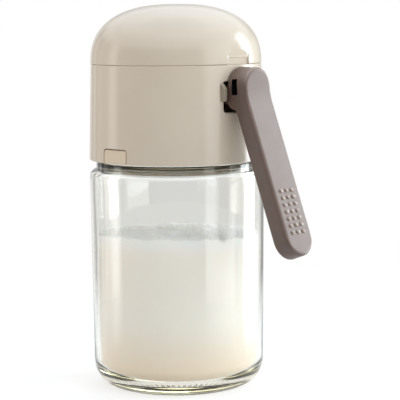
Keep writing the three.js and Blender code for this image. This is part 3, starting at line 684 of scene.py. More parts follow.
def ramped(tree, value, stops):
    """A colour that follows (share, colour) stops along a value."""
    ramp = add_node(tree, "ValToRGB", {"Fac": value})
    elements = ramp.color_ramp.elements
    for share, colour in stops[1:-1]:
        elements.new(share).color = colour
    for number in (0, -1):
        elements[number].color = stops[number][1]
    return ramp.outputs["Color"]


def roughen(tree, shader, field, strength, depth):
    bump = add_node(tree, "Bump", {"Height": field, "Strength": strength, "Distance": depth * MM})
    fill(tree, shader.inputs["Normal"], bump.outputs["Normal"])


def mottled(name, look, colours, roughness, fields, relief):
    """A material with faint mottling, uneven gloss and a fine grain, each from its own noise."""
    made, tree, shader = new_material(name, look)
    mottle, sheen, grain = [noise_field(tree, *field) for field in fields]
    fill(tree, shader.inputs["Base Color"], mixed(tree, mottle, *[srgb(*colour) for colour in colours]))
    fill(tree, shader.inputs["Roughness"], ranged(tree, sheen, FIELD_LOW, FIELD_HIGH, *roughness))
    roughen(tree, shader, grain, *relief)
    return made


def moulded(name):
    light, dark, roughness, grain, depth, gloss = PLASTICS[name]
    look = {"IOR": PLASTIC_IOR, "Specular IOR Level": gloss}
    fields = (MOTTLE, SHEEN, (grain, GRAIN_DETAIL))
    return mottled(name, look, (light, dark), roughness, fields, (GRAIN_STRENGTH, depth))


def salt():
    """Packed white salt, painted warmer towards the jar's base and whiter at its top as painted light,
    with crystals that glint.
    """
    made, tree, shader = new_material("salt", SALT_LOOK)
    place = add_node(tree, "TexCoord").outputs["Object"]
    height = add_node(tree, "SeparateXYZ", {"Vector": place}).outputs["Z"]
    stops = [(level / SALT_TOP, srgb(*colour)) for level, colour in SALT_PAINTED_LIGHT]
    tone = ramped(tree, ranged(tree, height, 0, SALT_TOP * MM), stops)
    cells = add_node(tree, "TexVoronoi", {"Vector": place, "Scale": SALT_CELLS}).outputs["Distance"]
    speck = ranged(tree, cells, 0, SALT_CELL_REACH, *SALT_SPECK)
    fill(tree, shader.inputs["Base Color"], mixed(tree, 1, tone, speck, blend_type="MULTIPLY"))
    roughen(tree, shader, cells, *SALT_RELIEF)
    return made


def glass():
    """Clear soda glass with a green cast in its depth, which lets lamp light through."""
    made, tree, shader = new_material("glass", GLASS_LOOK)
    sheen = noise_field(tree, *GLASS_SHEEN)
    fill(tree, shader.inputs["Roughness"], ranged(tree, sheen, FIELD_LOW, FIELD_HIGH, *GLASS_ROUGHNESS))
    roughen(tree, shader, noise_field(tree, *GLASS_RIPPLE), *GLASS_RELIEF)
    clear = add_node(tree, "BsdfTransparent", {"Color": GLASS_CLEAR}).outputs["BSDF"]
    path = add_node(tree, "LightPath")
    shown = shader.outputs["BSDF"]
    for kind in ("Is Shadow Ray", "Is Diffuse Ray"):
        sides = {"Fac": path.outputs[kind], 1: shown, 2: clear}
        shown = add_node(tree, "MixShader", sides).outputs["Shader"]
    out = tree.nodes["Material Output"]
    fill(tree, out.inputs["Surface"], shown)
    fill(tree, out.inputs["Volume"], add_node(tree, "VolumeAbsorption", GLASS_DEPTH).outputs["Volume"])
    return made


GLASS = glass()
SALT = salt()
CREAM = moulded("cream_plastic")
COLLAR_CREAM = moulded("collar_plastic")
THREAD_PAINTED_SHADE = moulded("thread_painted_shade")
EAR_PAINTED_SHADE = moulded("ear_painted_shade")
TAUPE = moulded("taupe_plastic")
NUB_PAINTED_HIGHLIGHT = moulded("nub_painted_highlight")
WHITE = moulded("white_plastic")
PAINTED_RECESS_SHADE = moulded("recess_painted_shade")
SILICONE = mottled(
    "silicone", SILICONE_LOOK, SILICONE_COLOURS, SILICONE_ROUGHNESS, SILICONE_FIELDS, SILICONE_RELIEF
)
STEEL = mottled("steel", {"Metallic": 1}, STEEL_COLOURS, STEEL_ROUGHNESS, [STEEL_LINES] * 3, STEEL_RELIEF)


# Jar and salt

def thread_ridge(name, root, crest, rise):
    inward = -1 if crest > root else 1
    section = [
        (root + inward * SINK, -THREAD_ROOT),
        (crest, -THREAD_CREST),
        (crest, THREAD_CREST),
        (root + inward * SINK, THREAD_ROOT),
    ]
    return swept(name, section, THREAD_TURNS, THREAD_STEPS, THREAD_PITCH, rise)


def on_ground(point):
    return Vector((point.x, point.y, 0))


def moulded_glass(point):
    """Presses half-moon dents into the jar's bearing ring and lets its inner wall wave a little."""
    radius = point.xy.length
    on_wall = GLASS_WAVE_BOTTOM < point.z < JAR_WALL_TOP - JAR_SHOULDER_RISE
    if on_wall and radius < JAR_FOOT_RADIUS - JAR_WALL / 2:
        spot = Vector((point.x, point.y, point.z / GLASS_WAVE_STRETCH))
        wave = noise.noise(spot / GLASS_WAVE_SIZE) * GLASS_WAVE
        return point + on_ground(point) * wave / radius
    if point.z > KNURL_TOP or not KNURL_INNER < radius < KNURL_OUTER:
        return point
    across = (radius - KNURL_INNER) / (KNURL_OUTER - KNURL_INNER)
    wave = math.cos(math.atan2(point.y, point.x) * KNURL_BUMPS)
    depth = KNURL_DEPTH * max(0, wave) * math.sin(across * math.pi)
    return point + UP * depth


def wall_rows(top_radius, foot_radius):
    """Points down the jar's inner wall, close enough for its waves."""
    top = Vector((top_radius, JAR_WALL_TOP - JAR_INNER_SHOULDER_DROP))
    foot = Vector((foot_radius, JAR_FLOOR + JAR_INNER_CORNER))
    return [top.lerp(foot, step / GLASS_WAVE_ROWS) for step in range(1, GLASS_WAVE_ROWS)]


def jar_foot(corner_x):
    """The jar's raised bottom and its bearing ring, from the axis out."""
    points = [(0, PUSH_UP)]
    for angle in quarter_turn(PUSH_UP_STEPS)[1:-1]:
        points.append((PUSH_UP_RADIUS * math.sin(angle), PUSH_UP * math.cos(angle) ** 2))
    points.append((PUSH_UP_RADIUS + PUSH_UP_FLAT, 0))
    for step in range(BEARING_STEPS):
        points.append((KNURL_INNER + (corner_x - KNURL_INNER) * step / BEARING_STEPS, 0))
    return points


def glass_jar():
    body_inner = JAR_RADIUS - JAR_WALL
    foot_inner = JAR_FOOT_RADIUS - JAR_WALL
    neck_bore = NECK_RADIUS - JAR_WALL
    corner_x = JAR_FOOT_RADIUS - JAR_CORNER_WIDTH
    corner = (corner_x, JAR_CORNER_HEIGHT)
    shoulder = (JAR_BEAD_RADIUS, JAR_WALL_TOP)
    inner_shoulder = (neck_bore, JAR_WALL_TOP - JAR_INNER_SHOULDER_DROP)
    inner_corner = (foot_inner - JAR_INNER_CORNER, JAR_FLOOR + JAR_INNER_CORNER)
    shoulder_width = JAR_RADIUS - JAR_BEAD_RADIUS
    inner_width = body_inner - neck_bore
    outline = [
        *jar_foot(corner_x),
        *arc(corner, JAR_CORNER_WIDTH, JAR_CORNER_HEIGHT, -1, 0, JAR_CORNER_STEPS),
        *arc(shoulder, shoulder_width, JAR_SHOULDER_RISE, 0, 1, JAR_SHOULDER_STEPS),
        *filleted([
            (JAR_BEAD_RADIUS, JAR_WALL_TOP + JAR_SHOULDER_RISE + JAR_BEAD_STEP),
            (JAR_BEAD_RADIUS, JAR_BEAD_TOP, JAR_BEAD_FILLET),
            (NECK_RADIUS, JAR_BEAD_TOP, NECK_FILLET),
            (NECK_RADIUS, RIM_TOP, RIM_FILLET),
            (neck_bore, RIM_TOP, RIM_FILLET),
            (neck_bore, RIM_TOP - RIM_DEPTH),
        ]),
        *arc(inner_shoulder, inner_width, JAR_INNER_SHOULDER_RISE, 1, 0, JAR_INNER_SHOULDER_STEPS),
        *wall_rows(body_inner, foot_inner),
        *arc(inner_corner, JAR_INNER_CORNER, JAR_INNER_CORNER, 0, -1, JAR_INNER_CORNER_STEPS),
        (0, JAR_FLOOR),
    ]
    jar = turned("jar_body", outline, JAR_STEPS, moulded_glass)
    join(jar, thread_ridge("jar_thread", NECK_RADIUS, NECK_RADIUS + THREAD_DEPTH, THREAD_START))
    dress(jar, "jar", "glass", GLASS, "glass_jar")


def salt_level(point):
    """How far the salt's uneven surface lies above or below an even heap."""
    lumps = noise.fractal(point / SALT_LUMP_SIZE, *SALT_LUMP_DETAIL) * SALT_LUMP
    ripples = noise.noise(point / SALT_RIPPLE_SIZE) * SALT_RIPPLE
    return lumps + ripples + point.dot(around(0)) * SALT_TILT


def heaped(point):
    """Moves a point near the salt's surface up or down with it."""
    share = (point.z - SALT_WALL_TOP + SALT_HEAP_DEPTH) / SALT_HEAP_DEPTH
    if share <= 0:
        return point
    return point + UP * salt_level(on_ground(point)) * min(share, 1)


def salt_crystals(seed, count, limit):
    """Loose crystals, small turned cubes half sunk in the salt's surface."""
    draw = random.Random(seed)
    points, faces = [], []
    corners = [Vector((x, y, z)) for x in (-1, 1) for y in (-1, 1) for z in (-1, 1)]
    sides = [(0, 1, 3, 2), (4, 6, 7, 5), (0, 4, 5, 1), (2, 3, 7, 6), (0, 2, 6, 4), (1, 5, 7, 3)]
    for _ in range(count):
        radius = limit * math.sqrt(draw.random())
        place = polar(radius, draw.random() * math.tau)
        crown = SALT_CROWN * (1 - (radius / limit) ** 2)
        place.z = SALT_WALL_TOP + crown + salt_level(place)
        turn = Euler([draw.random() * math.pi for _ in range(3)]).to_matrix()
        half = SALT_GRAIN * (SALT_GRAIN_LEAST_SHARE + draw.random())
        start = len(points)
        points += [place + turn @ corner * half for corner in corners]
        faces += [[start + number for number in side] for side in sides]
    return points, faces


def salt_fill():
    foot = JAR_FOOT_RADIUS - JAR_WALL - SALT_GAP
    share = (SALT_WALL_TOP - JAR_FLOOR) / (JAR_WALL_TOP - JAR_FLOOR)
    wall = foot + JAR_TAPER * share
    bottom = JAR_FLOOR + SALT_GAP
    corner = (foot - JAR_INNER_CORNER, bottom + JAR_INNER_CORNER)
    outline = [
        (0, bottom),
        *arc(corner, JAR_INNER_CORNER, JAR_INNER_CORNER, -1, 0, SALT_CORNER_STEPS),
        (wall, SALT_WALL_TOP - SALT_EDGE_DROP),
    ]
    for ring in range(SALT_TOP_RINGS + 1):
        outward = 1 - ring / SALT_TOP_RINGS
        outline.append((wall * outward, SALT_WALL_TOP + SALT_CROWN * (1 - outward**2)))
    body = turned("salt_heap", outline, LARGE_STEPS, heaped)
    dress(body, "jar", "salt", SALT, "salt_fill")
    crystals = new_piece("salt_crystals", *salt_crystals(SALT_SEED, SALT_GRAINS, wall - SALT_EDGE_DROP))
    dress(crystals, "jar", "salt", SALT)


def neck_gasket():
    inner = NECK_RADIUS - JAR_WALL
    outline = filleted([
        (inner, RIM_TOP, SMALL_EDGE),
        (NECK_RADIUS, RIM_TOP, SMALL_EDGE),
        (NECK_RADIUS, COLLAR_DECK_BOTTOM, SMALL_EDGE),
        (inner, COLLAR_DECK_BOTTOM, SMALL_EDGE),
    ])
    dress(turned("rim_gasket", outline), "seal", "silicone", SILICONE, "neck_gasket")


# Head

def housing_radius(height):
    share = (height - HOUSING_BOTTOM) / (HOUSING_TOP - HOUSING_BOTTOM)
    return HOUSING_FOOT_RADIUS + (HOUSING_TOP_RADIUS - HOUSING_FOOT_RADIUS) * share


def on_housing(quarter):
    """Maps (across, up, out) to a place off the housing's surface, so many quarter turns from +X."""
    turn = Matrix.Rotation(quarter * math.pi / 2, 3, "Z")

    def place(across, up, out):
        radius = housing_radius(up) + out
        return turn @ Vector((math.sqrt(radius**2 - across**2), across, up))

    return place


def surface_cutter(name, outline_at, quarter, chamfer, depth):
    """What cuts an outline through the housing's surface, with a chamfered edge."""
    layers = [(0, -depth), (0, -chamfer), (chamfer, 0), (chamfer, WIDE_OVERCUT)]
    return layered(name, layers, outline_at, on_housing(quarter))


def ear(side):
    radius = housing_radius(PIVOT_Z)
    outer = math.sqrt(radius**2 - EAR_INNER**2) + EAR_PROUD
    low_y, high_y = sorted((side * EAR_INNER, side * EAR_OUTER))
    layers = edge_layers(low_y, high_y, EAR_EDGE, EAR_EDGE, BAR_EDGE_STEPS)

    def outline(grow):
        inner = outer - EAR_DEPTH - grow
        return filleted([
            (inner, EAR_BOTTOM - grow),
            (outer + grow, EAR_BOTTOM - grow, EAR_CORNER),
            (outer + grow, EAR_SHOULDER, EAR_CORNER),
            (outer - EAR_PROUD + grow, EAR_TOP + grow, EAR_CORNER),
            (inner, EAR_TOP + grow),
        ])

    made = layered("ear", layers, outline, along_y)
    # The ears take the darker cream, which is painted shade.
    made.data.materials.append(EAR_PAINTED_SHADE)
    return made


def bar_along_y(name, centre, radius, from_y, to_y, edge, steps=SMALL_STEPS):
    layers = edge_layers(from_y, to_y, edge, edge, BAR_EDGE_STEPS) if edge else [(0, from_y), (0, to_y)]
    return layered(name, layers, lambda grow: circle(centre, radius + grow, steps), along_y)


def drill_along_y(piece, centre, radius, half):
    cut(piece, bar_along_y("bore", centre, radius, -half, half, 0, TINY_STEPS))


def plate_along_y(name, corners, from_y, to_y):
    return layered(name, [(0, from_y), (0, to_y)], lambda grow: corners, along_y)


def hinge_knuckle(from_y, to_y):
    root = -(HOUSING_TOP_RADIUS - HOUSING_WALL / 2)
    slant = KNUCKLE_RADIUS * math.cos(math.pi / 4)
    gusset = [
        (root, HOUSING_TOP - HINGE_SEAM),
        (root, HOUSING_TOP - HINGE_BRACKET_DROP),
        (HINGE_X - slant, HINGE_Z - slant),
        (HINGE_X, HOUSING_TOP - HINGE_SEAM),
    ]
    barrel = bar_along_y("knuckle", HINGE, KNUCKLE_RADIUS, from_y, to_y, FINE_EDGE)
    return join(barrel, plate_along_y("gusset", gusset, from_y + FINE_EDGE, to_y - FINE_EDGE))


def outer_housing():
    ledge_bottom = LEDGE_TOP - LEDGE_THICKNESS
    ledge_inner = housing_radius(LEDGE_TOP) - HOUSING_WALL - LEDGE_WIDTH
    outline = filleted([
        (HOUSING_FOOT_RADIUS - HOUSING_WALL, HOUSING_BOTTOM, THIN_EDGE),
        (HOUSING_FOOT_RADIUS, HOUSING_BOTTOM, HOUSING_EDGE),
        (HOUSING_TOP_RADIUS, HOUSING_TOP, HOUSING_EDGE),
        (HOUSING_TOP_RADIUS - HOUSING_WALL, HOUSING_TOP, THIN_EDGE),
        (housing_radius(LEDGE_TOP) - HOUSING_WALL, LEDGE_TOP),
        (ledge_inner, LEDGE_TOP, FINE_EDGE),
        (ledge_inner, ledge_bottom, FINE_EDGE),
        (housing_radius(ledge_bottom) - HOUSING_WALL, ledge_bottom - LEDGE_WIDTH),
    ])
    housing = turned("housing_shell", outline)
    housing.data.materials.append(CREAM)

    slot = rounded_box(SLOT_HALF_WIDTH, SLOT_BOTTOM, SLOT_TOP, SLOT_CORNER)
    cut(housing, surface_cutter("slot", slot, 0, SLOT_CHAMFER, EAR_DEPTH))
    half = LUG_HALF_WIDTH + LUG_SIDE_GAP
    bottom = HOUSING_BOTTOM - FAR_OVERCUT
    notch = rounded_box(half, bottom, LUG_TOP + RUNNING_GAP, LUG_CORNER + LUG_SIDE_GAP)
    for quarter in (1, 3):
        cut(housing, surface_cutter("notch", notch, quarter, HAIR_EDGE, HOUSING_WALL + OVERCUT))
    join(housing, ear(1), ear(-1))
    for from_y in (HOUSING_KNUCKLE_INNER, -HOUSING_KNUCKLE_OUTER):
        join(housing, hinge_knuckle(from_y, from_y + HOUSING_KNUCKLE_OUTER - HOUSING_KNUCKLE_INNER))
    drill_along_y(housing, PIVOT, PIVOT_BORE, EAR_OUTER - RUNNING_GAP)
    drill_along_y(housing, HINGE, HINGE_BORE, HINGE_BORE_REACH)
    dress(housing, "head", "cream_plastic", CREAM, "outer_housing")


def screw_place(number):
    return polar(BOSS_CIRCLE, math.pi / SCREW_COUNT + math.tau * number / SCREW_COUNT)


def moved(piece, place):
    piece.data.transform(Matrix.Translation(place * MM))
    return piece


def plain_disc(name, radius, bottom, top, steps=TINY_STEPS):
    return turned(name, [(0, bottom), (radius, bottom), (radius, top), (0, top)], steps)


def skirt_lug(quarter):
    """The collar's tongue that lies flush in a notch of the housing."""
    root = COLLAR_RADIUS - housing_radius(LUG_TOP) - LUG_EDGE
    layers = [(0, root), *edge_layers(-LUG_DEPTH, 0, 0, LUG_EDGE)[FILLET_STEPS + 1:]]
    outline_at = rounded_box(LUG_HALF_WIDTH, HOUSING_BOTTOM, LUG_TOP, LUG_CORNER)
    return layered("lug", layers, outline_at, on_housing(quarter))


def screw_collar():
    outline = filleted([
        (COLLAR_BORE, COLLAR_BOTTOM, SMALL_EDGE),
        (COLLAR_RADIUS, COLLAR_BOTTOM, SMALL_EDGE),
        (COLLAR_RADIUS, COLLAR_DECK_TOP, BROAD_EDGE),
        (CHAMBER_BORE, COLLAR_DECK_TOP),
        (CHAMBER_BORE, COLLAR_DECK_BOTTOM),
        (COLLAR_BORE, COLLAR_DECK_BOTTOM, PLAIN_EDGE),
        (COLLAR_BORE, LEAD_IN_TOP),
    ])
    collar = turned("collar_shell", outline)
    collar.data.materials.append(COLLAR_CREAM)
    collar.data.materials.append(THREAD_PAINTED_SHADE)
    # Painted shade: the collar's lower faces inside the neck take the dark olive.
    for face in collar.data.polygons:
        if face.center.z < LEAD_IN_TOP * MM and face.center.xy.length < PAINTED_SHADE_RADIUS * MM:
            face.material_index = 1
    rise = THREAD_START + THREAD_PITCH / 2
    thread = thread_ridge("collar_thread", COLLAR_BORE, COLLAR_BORE - THREAD_DEPTH, rise)
    # The thread takes the same dark olive painted shade.
    thread.data.materials.append(THREAD_PAINTED_SHADE)
    join(collar, thread, skirt_lug(1), skirt_lug(3))
    places = [screw_place(number) for number in range(SCREW_COUNT)]
    for place in places:
        join(collar, moved(plain_disc("boss", BOSS_RADIUS, COLLAR_DECK_TOP - SINK, DECK_BOTTOM), place))
    for place in places:
        cut(collar, moved(plain_disc("hole", BOSS_HOLE_RADIUS, BOSS_HOLE_BOTTOM, DECK_TOP), place))
    dress(collar, "head", "cream_plastic", COLLAR_CREAM, "screw_collar")


def top_deck():
    outline = filleted([
        (DECK_HOLE, DECK_BOTTOM),
        (DECK_RADIUS, DECK_BOTTOM, FINE_EDGE),
        (DECK_RADIUS, DECK_TOP, SMALL_EDGE),
        (DECK_RING_OUTER, DECK_TOP, PLAIN_EDGE),
        (DECK_RING_OUTER, DECK_RING_TOP, DECK_RING_EDGE),
        (DECK_RING_INNER, DECK_RING_TOP, DECK_RING_EDGE),
        (DECK_RING_INNER, DECK_TOP, ROUND_EDGE),
        (DECK_HOLE, DECK_TOP, SMALL_EDGE),
    ])
    deck = turned("deck_plate", outline)
    for number in range(SCREW_COUNT):
        bore = plain_disc("bore", BOSS_HOLE_RADIUS, DECK_BOTTOM - OVERCUT, DECK_TOP + OVERCUT)
        cut(deck, moved(bore, screw_place(number)))
    dress(deck, "head", "cream_plastic", CREAM, "top_deck")


def deck_screw(number):
    top = DECK_TOP + SCREW_HEAD_HEIGHT
    foot = DECK_TOP - SCREW_LENGTH
    crown = (SCREW_HEAD_RADIUS - SCREW_CROWN_WIDTH, top - SCREW_CROWN_HEIGHT)
    outline = [
        (0, foot),
        (SCREW_SHANK_RADIUS, foot),
        (SCREW_SHANK_RADIUS, DECK_TOP),
        (SCREW_HEAD_RADIUS, DECK_TOP),
        *arc(crown, SCREW_CROWN_WIDTH, SCREW_CROWN_HEIGHT, 0, 1, SCREW_CROWN_STEPS),
        (0, top),
    ]
    screw = turned("screw", outline, TINY_STEPS)
    layers = [(-HAIR_EDGE, top - SCREW_RECESS), (0, top + OVERCUT)]
    for x, y in ((SCREW_CROSS_HALF, SCREW_CROSS_REACH), (SCREW_CROSS_REACH, SCREW_CROSS_HALF)):
        cut(screw, layered("cross", layers, rounded_box(x, -y, y, FINE_EDGE, SCREW_CROSS_STEPS), upright))
    screw.name = f"cross_screw_{number + 1}"
    moved(screw, screw_place(number))
    dress(screw, "head", "steel", STEEL, f"deck_screw_{number + 1}")


def outlet_spout():
    flange_top = DECK_TOP + SPOUT_FLANGE_THICKNESS
    lip_bottom = SPOUT_TOP - SPOUT_LIP_HEIGHT
    outline = filleted([
        (SPOUT_SKIRT_BORE, SPOUT_SKIRT_BOTTOM, FINE_EDGE),
        (SPOUT_SKIRT_RADIUS, SPOUT_SKIRT_BOTTOM, FINE_EDGE),
        (SPOUT_SKIRT_RADIUS, DECK_TOP),
        (SPOUT_FLANGE_RADIUS, DECK_TOP, FINE_EDGE),
        (SPOUT_FLANGE_RADIUS, flange_top, SPOUT_FLANGE_EDGE),
        (SPOUT_CONE_RADIUS, flange_top, SPOUT_CONE_FILLET),
        (SPOUT_TIP_RADIUS, lip_bottom, PLAIN_EDGE),
        (SPOUT_LIP_RADIUS, lip_bottom, HAIR_EDGE),
        (SPOUT_LIP_RADIUS, SPOUT_TOP, ROUND_EDGE),
        (SPOUT_BORE, SPOUT_TOP, ROUND_EDGE),
        (SPOUT_BORE, SPOUT_THROAT_BOTTOM + SPOUT_THROAT_RISE, SPOUT_THROAT_FILLET),
        (SPOUT_SKIRT_BORE, SPOUT_THROAT_BOTTOM, SPOUT_CONE_FILLET),
    ])
    spout = turned("pouring_spout", outline, SMALL_STEPS)
    dress(spout, "head", "white_plastic", WHITE, "outlet_spout")


def steel_pin(name, node, centre, radius, edge):
    half = high(node).y
    pin = bar_along_y(name, centre, radius, -half, half, edge, TINY_STEPS)
    dress(pin, "head", "steel", STEEL, node)


# Lid

def dome(inset):
    """The lid's outline from above its edge to its top, inset by a wall."""
    power = 2 / LID_ROUNDNESS
    width = LID_RADIUS - inset
    rise = LID_RISE - inset
    points = []
    for angle in quarter_turn(LID_STEPS)[:-1]:
        height = LID_BOTTOM + rise * math.sin(angle) ** power
        if height > LID_BOTTOM + LID_EDGE * 2:
            points.append((width * math.cos(angle) ** power, height))
    return [*points, (0, LID_BOTTOM + rise)]


def thumb_notch():
    """What cuts the shallow dent over the lever, with rolled sides that fade out towards its top."""
    def place(across, up, out):
        radius = LID_RADIUS + out
        return Vector((math.sqrt(radius**2 - across**2), across, up))

    bottom = LID_BOTTOM - FAR_OVERCUT
    outline_at = rounded_box(NOTCH_HALF_WIDTH, bottom, NOTCH_TOP, NOTCH_CORNER, top_slope=NOTCH_TOP_SLOPE)
    roll = arc((NOTCH_ROLL, -NOTCH_DEPTH), NOTCH_ROLL, NOTCH_DEPTH, 2, 1, NOTCH_STEPS)
    layers = [(grow - NOTCH_ROLL, out) for grow, out in roll]
    return layered("thumb_notch", [*layers, (NOTCH_FLARE, WIDE_OVERCUT)], outline_at, place)


def dome_lid():
    rim = filleted([
        (LID_RADIUS - LID_WALL, LID_BOTTOM + LID_EDGE * 2),
        (LID_RADIUS - LID_WALL, LID_BOTTOM, LID_EDGE),
        (LID_RADIUS, LID_BOTTOM, LID_EDGE),
        (LID_RADIUS, LID_BOTTOM + LID_EDGE * 2),
    ])
    lid = turned("lid_shell", [*reversed(dome(LID_WALL)), *rim, *dome(0)])
    cut(lid, thumb_notch())
    root = -(LID_RADIUS - LID_WALL / 2)
    web = [
        (HINGE_X, LID_BOTTOM),
        (root, LID_BOTTOM),
        (root, LID_BOTTOM + HINGE_WEB_HEIGHT),
        (HINGE_X, HINGE_Z + KNUCKLE_RADIUS),
    ]
    half = LID_KNUCKLE_HALF
    join(
        lid,
        plate_along_y("lid_web", web, -half + FINE_EDGE, half - FINE_EDGE),
        bar_along_y("lid_knuckle", HINGE, KNUCKLE_RADIUS, -half, half, FINE_EDGE),
    )
    drill_along_y(lid, HINGE, HINGE_BORE, LID_BORE_REACH)
    dress(lid, "lid", "cream_plastic", CREAM, "dome_lid")


def lid_liner():
    plate_bottom = LINER_TOP - LINER_THICKNESS
    cup_inner = SEAL_RADIUS + RUNNING_GAP
    cup_outer = cup_inner + LINER_CUP_WALL
    outline = [
        (0, SEAL_TOP),
        *filleted([
            (cup_inner, SEAL_TOP),
            (cup_inner, LINER_CUP_BOTTOM, SMALL_EDGE),
            (cup_outer, LINER_CUP_BOTTOM, PLAIN_EDGE),
            (cup_outer, plate_bottom, LINER_FILLET),
            (LINER_RADIUS, plate_bottom, PLAIN_EDGE),
            (LINER_RADIUS, LINER_TOP, SMALL_EDGE),
            (0, LINER_TOP),
        ]),
    ]
    dress(turned("seal_carrier", outline, SMALL_STEPS), "lid", "white_plastic", WHITE, "lid_liner")


def spout_seal():
    outline = [
        (0, SEAL_BOTTOM),
        *filleted([
            (SEAL_RADIUS - SEAL_FOOT_INSET, SEAL_BOTTOM, PLAIN_EDGE),
            (SEAL_RADIUS, SEAL_BOTTOM, BROAD_EDGE),
            (SEAL_RADIUS, SEAL_TOP, FINE_EDGE),
        ]),
        (0, SEAL_TOP),
    ]
    dress(turned("seal_pad", outline, SMALL_STEPS), "lid", "silicone", SILICONE, "spout_seal")


# Lever: its side view is a front line and a back line, and its front view has round ends

BLADE_DOWN = Vector((math.sin(LEVER_TILT), -math.cos(LEVER_TILT)))
BLADE_OUT = Vector((math.cos(LEVER_TILT), math.sin(LEVER_TILT)))
PAD = Vector((LEVER_PAD_X, LEVER_PAD_Z))
TIP = PAD + BLADE_DOWN * LEVER_TIP_RUN
BEND = PAD + BLADE_DOWN * ((LEVER_FRONT_X - LEVER_PAD_X) / BLADE_DOWN.x)
BEND_RUN = LEVER_BEND_RADIUS * math.tan(LEVER_TILT / 2)
HUB_RUN = LEVER_TOP - BEND.y - BEND_RUN
ARC_RUN = LEVER_BEND_RADIUS * LEVER_TILT
FRONT_LENGTH = HUB_RUN + ARC_RUN + (TIP - BEND).length - BEND_RUN


def front_line(run):
    """The place and outward direction on the lever's face, so far down from its top."""
    if run <= HUB_RUN:
        return Vector((LEVER_FRONT_X, LEVER_TOP - run)), Vector((1, 0))
    if run <= HUB_RUN + ARC_RUN:
        angle = (run - HUB_RUN) / LEVER_BEND_RADIUS
        out = Vector((math.cos(angle), math.sin(angle)))
        centre = Vector((LEVER_FRONT_X + LEVER_BEND_RADIUS, LEVER_TOP - HUB_RUN))
        return centre - out * LEVER_BEND_RADIUS, out
    return TIP - BLADE_DOWN * (FRONT_LENGTH - run), BLADE_OUT


def back_line():
    """The lever's back as a line of points from its top to its tip."""
    foot = PAD - BLADE_OUT * LEVER_THICKNESS
    step_meets = foot + BLADE_DOWN * ((LEVER_STEP_X - foot.x) / BLADE_DOWN.x)
    tip = TIP - BLADE_OUT * LEVER_THICKNESS + BLADE_DOWN * LEVER_PAST_END
    corners = [
        (LEVER_BACK_X, LEVER_TOP + LEVER_PAST_END),
        (LEVER_BACK_X, LEVER_BACK_Z, LEVER_BACK_FILLET),
        (LEVER_HEEL_X, LEVER_HEEL_Z, LEVER_HEEL_FILLET),
        (step_meets.x, step_meets.y, LEVER_STEP_FILLET),
        (tip.x, tip.y),
    ]
    return filleted(corners)


BACK_LINE = back_line()


def thickness_at(run):
    """How thick the lever is, square to its face."""
    place, out = front_line(run)
    nearest = LEVER_THICKNESS * 2
    for start, end in zip(BACK_LINE, BACK_LINE[1:]):
        along = end - start
        turn = out.x * along.y - out.y * along.x
        if abs(turn) < NOUGHT:
            continue
        gap = place - start
        share = (out.x * gap.y - out.y * gap.x) / turn
        depth = (along.y * gap.x - along.x * gap.y) / turn
        if 0 <= share <= 1 and 0 < depth < nearest:
            nearest = depth
    return nearest


def lever_runs(inset):
    """(run, half width) pairs down the lever's round-ended face, inset by an edge."""
    radius = LEVER_HALF_WIDTH - inset
    straight = FRONT_LENGTH - LEVER_HALF_WIDTH * 2
    angles = quarter_turn(LEVER_ROUND_STEPS)[:-1]
    end = [(radius * math.cos(angle), radius * math.sin(angle)) for angle in angles]
    return [
        *[(LEVER_HALF_WIDTH - along, half) for along, half in end],
        *[(LEVER_HALF_WIDTH + straight * row / LEVER_ROWS, radius) for row in range(LEVER_ROWS + 1)],
        *[(FRONT_LENGTH - LEVER_HALF_WIDTH + along, half) for along, half in reversed(end)],
    ]


def lever_point(run, across, inward):
    place, out = front_line(run)
    return Vector((place.x - out.x * inward, across, place.y - out.y * inward))


def strips(ring):
    """Faces across a ring between its two like sides."""
    across = [ring[0], *reversed(ring)]
    faces = []
    for step in range(len(ring) // 2):
        corners = [ring[step], ring[step + 1], across[step + 1], across[step]]
        faces.append(list(dict.fromkeys(corners)))
    return faces


def lever_body():
    """Stacks the face's outline from the front to the back, and closes both with strips."""
    layers = [(inset, rise, False) for inset, rise in round_edge(LEVER_EDGE)]
    layers += [(rise, -inset, True) for inset, rise in round_edge(LEVER_BACK_EDGE)]
    loops = []
    for inset, inward, from_back in layers:
        right = []
        for run, half in lever_runs(inset):
            depth = inward + (thickness_at(run) if from_back else 0)
            right.append((run, half, depth))
        left = [(run, -half, depth) for run, half, depth in reversed(right[1:-1])]
        loops.append([lever_point(*values) for values in right + left])
    return lofted("lever_body", loops, cap=strips)


def lever_cheek():
    """The lever's boss round the pivot pin, with a web into the hub."""
    root = LEVER_HEEL_X + OVERCUT
    corners = [
        *arc(PIVOT, CHEEK_RADIUS, CHEEK_RADIUS, 1, 3, CHEEK_STEPS),
        (root, PIVOT_Z - CHEEK_RADIUS),
        (root, PIVOT_Z + CHEEK_RADIUS),
    ]
    return plate_along_y("cheek", corners, -LEVER_HALF_WIDTH, LEVER_HALF_WIDTH)


def hub_window(side):
    """What cuts the blind slot in a side of the hub, black inside as painted shade."""
    turn = Matrix.Rotation(WINDOW_SLANT, 2)
    bottom = LEVER_HALF_WIDTH - WINDOW_DEPTH
    inner = LEVER_HALF_WIDTH - WINDOW_BEVEL
    outer = LEVER_HALF_WIDTH + WINDOW_BEVEL
    layers = [(0, bottom), (0, inner), (WINDOW_BEVEL * 2, outer)]
    outline_at = rounded_box(WINDOW_HALF_WIDTH, -WINDOW_HALF_HEIGHT, WINDOW_HALF_HEIGHT, WINDOW_CORNER)

    def place(x, y, height):
        spot = turn @ Vector((x, y)) + Vector((WINDOW_X, WINDOW_Z))
        return Vector((spot.x, side * height, spot.y))

    window = layered("window", layers, outline_at, place)
    window.data.materials.append(PAINTED_RECESS_SHADE)
    return window


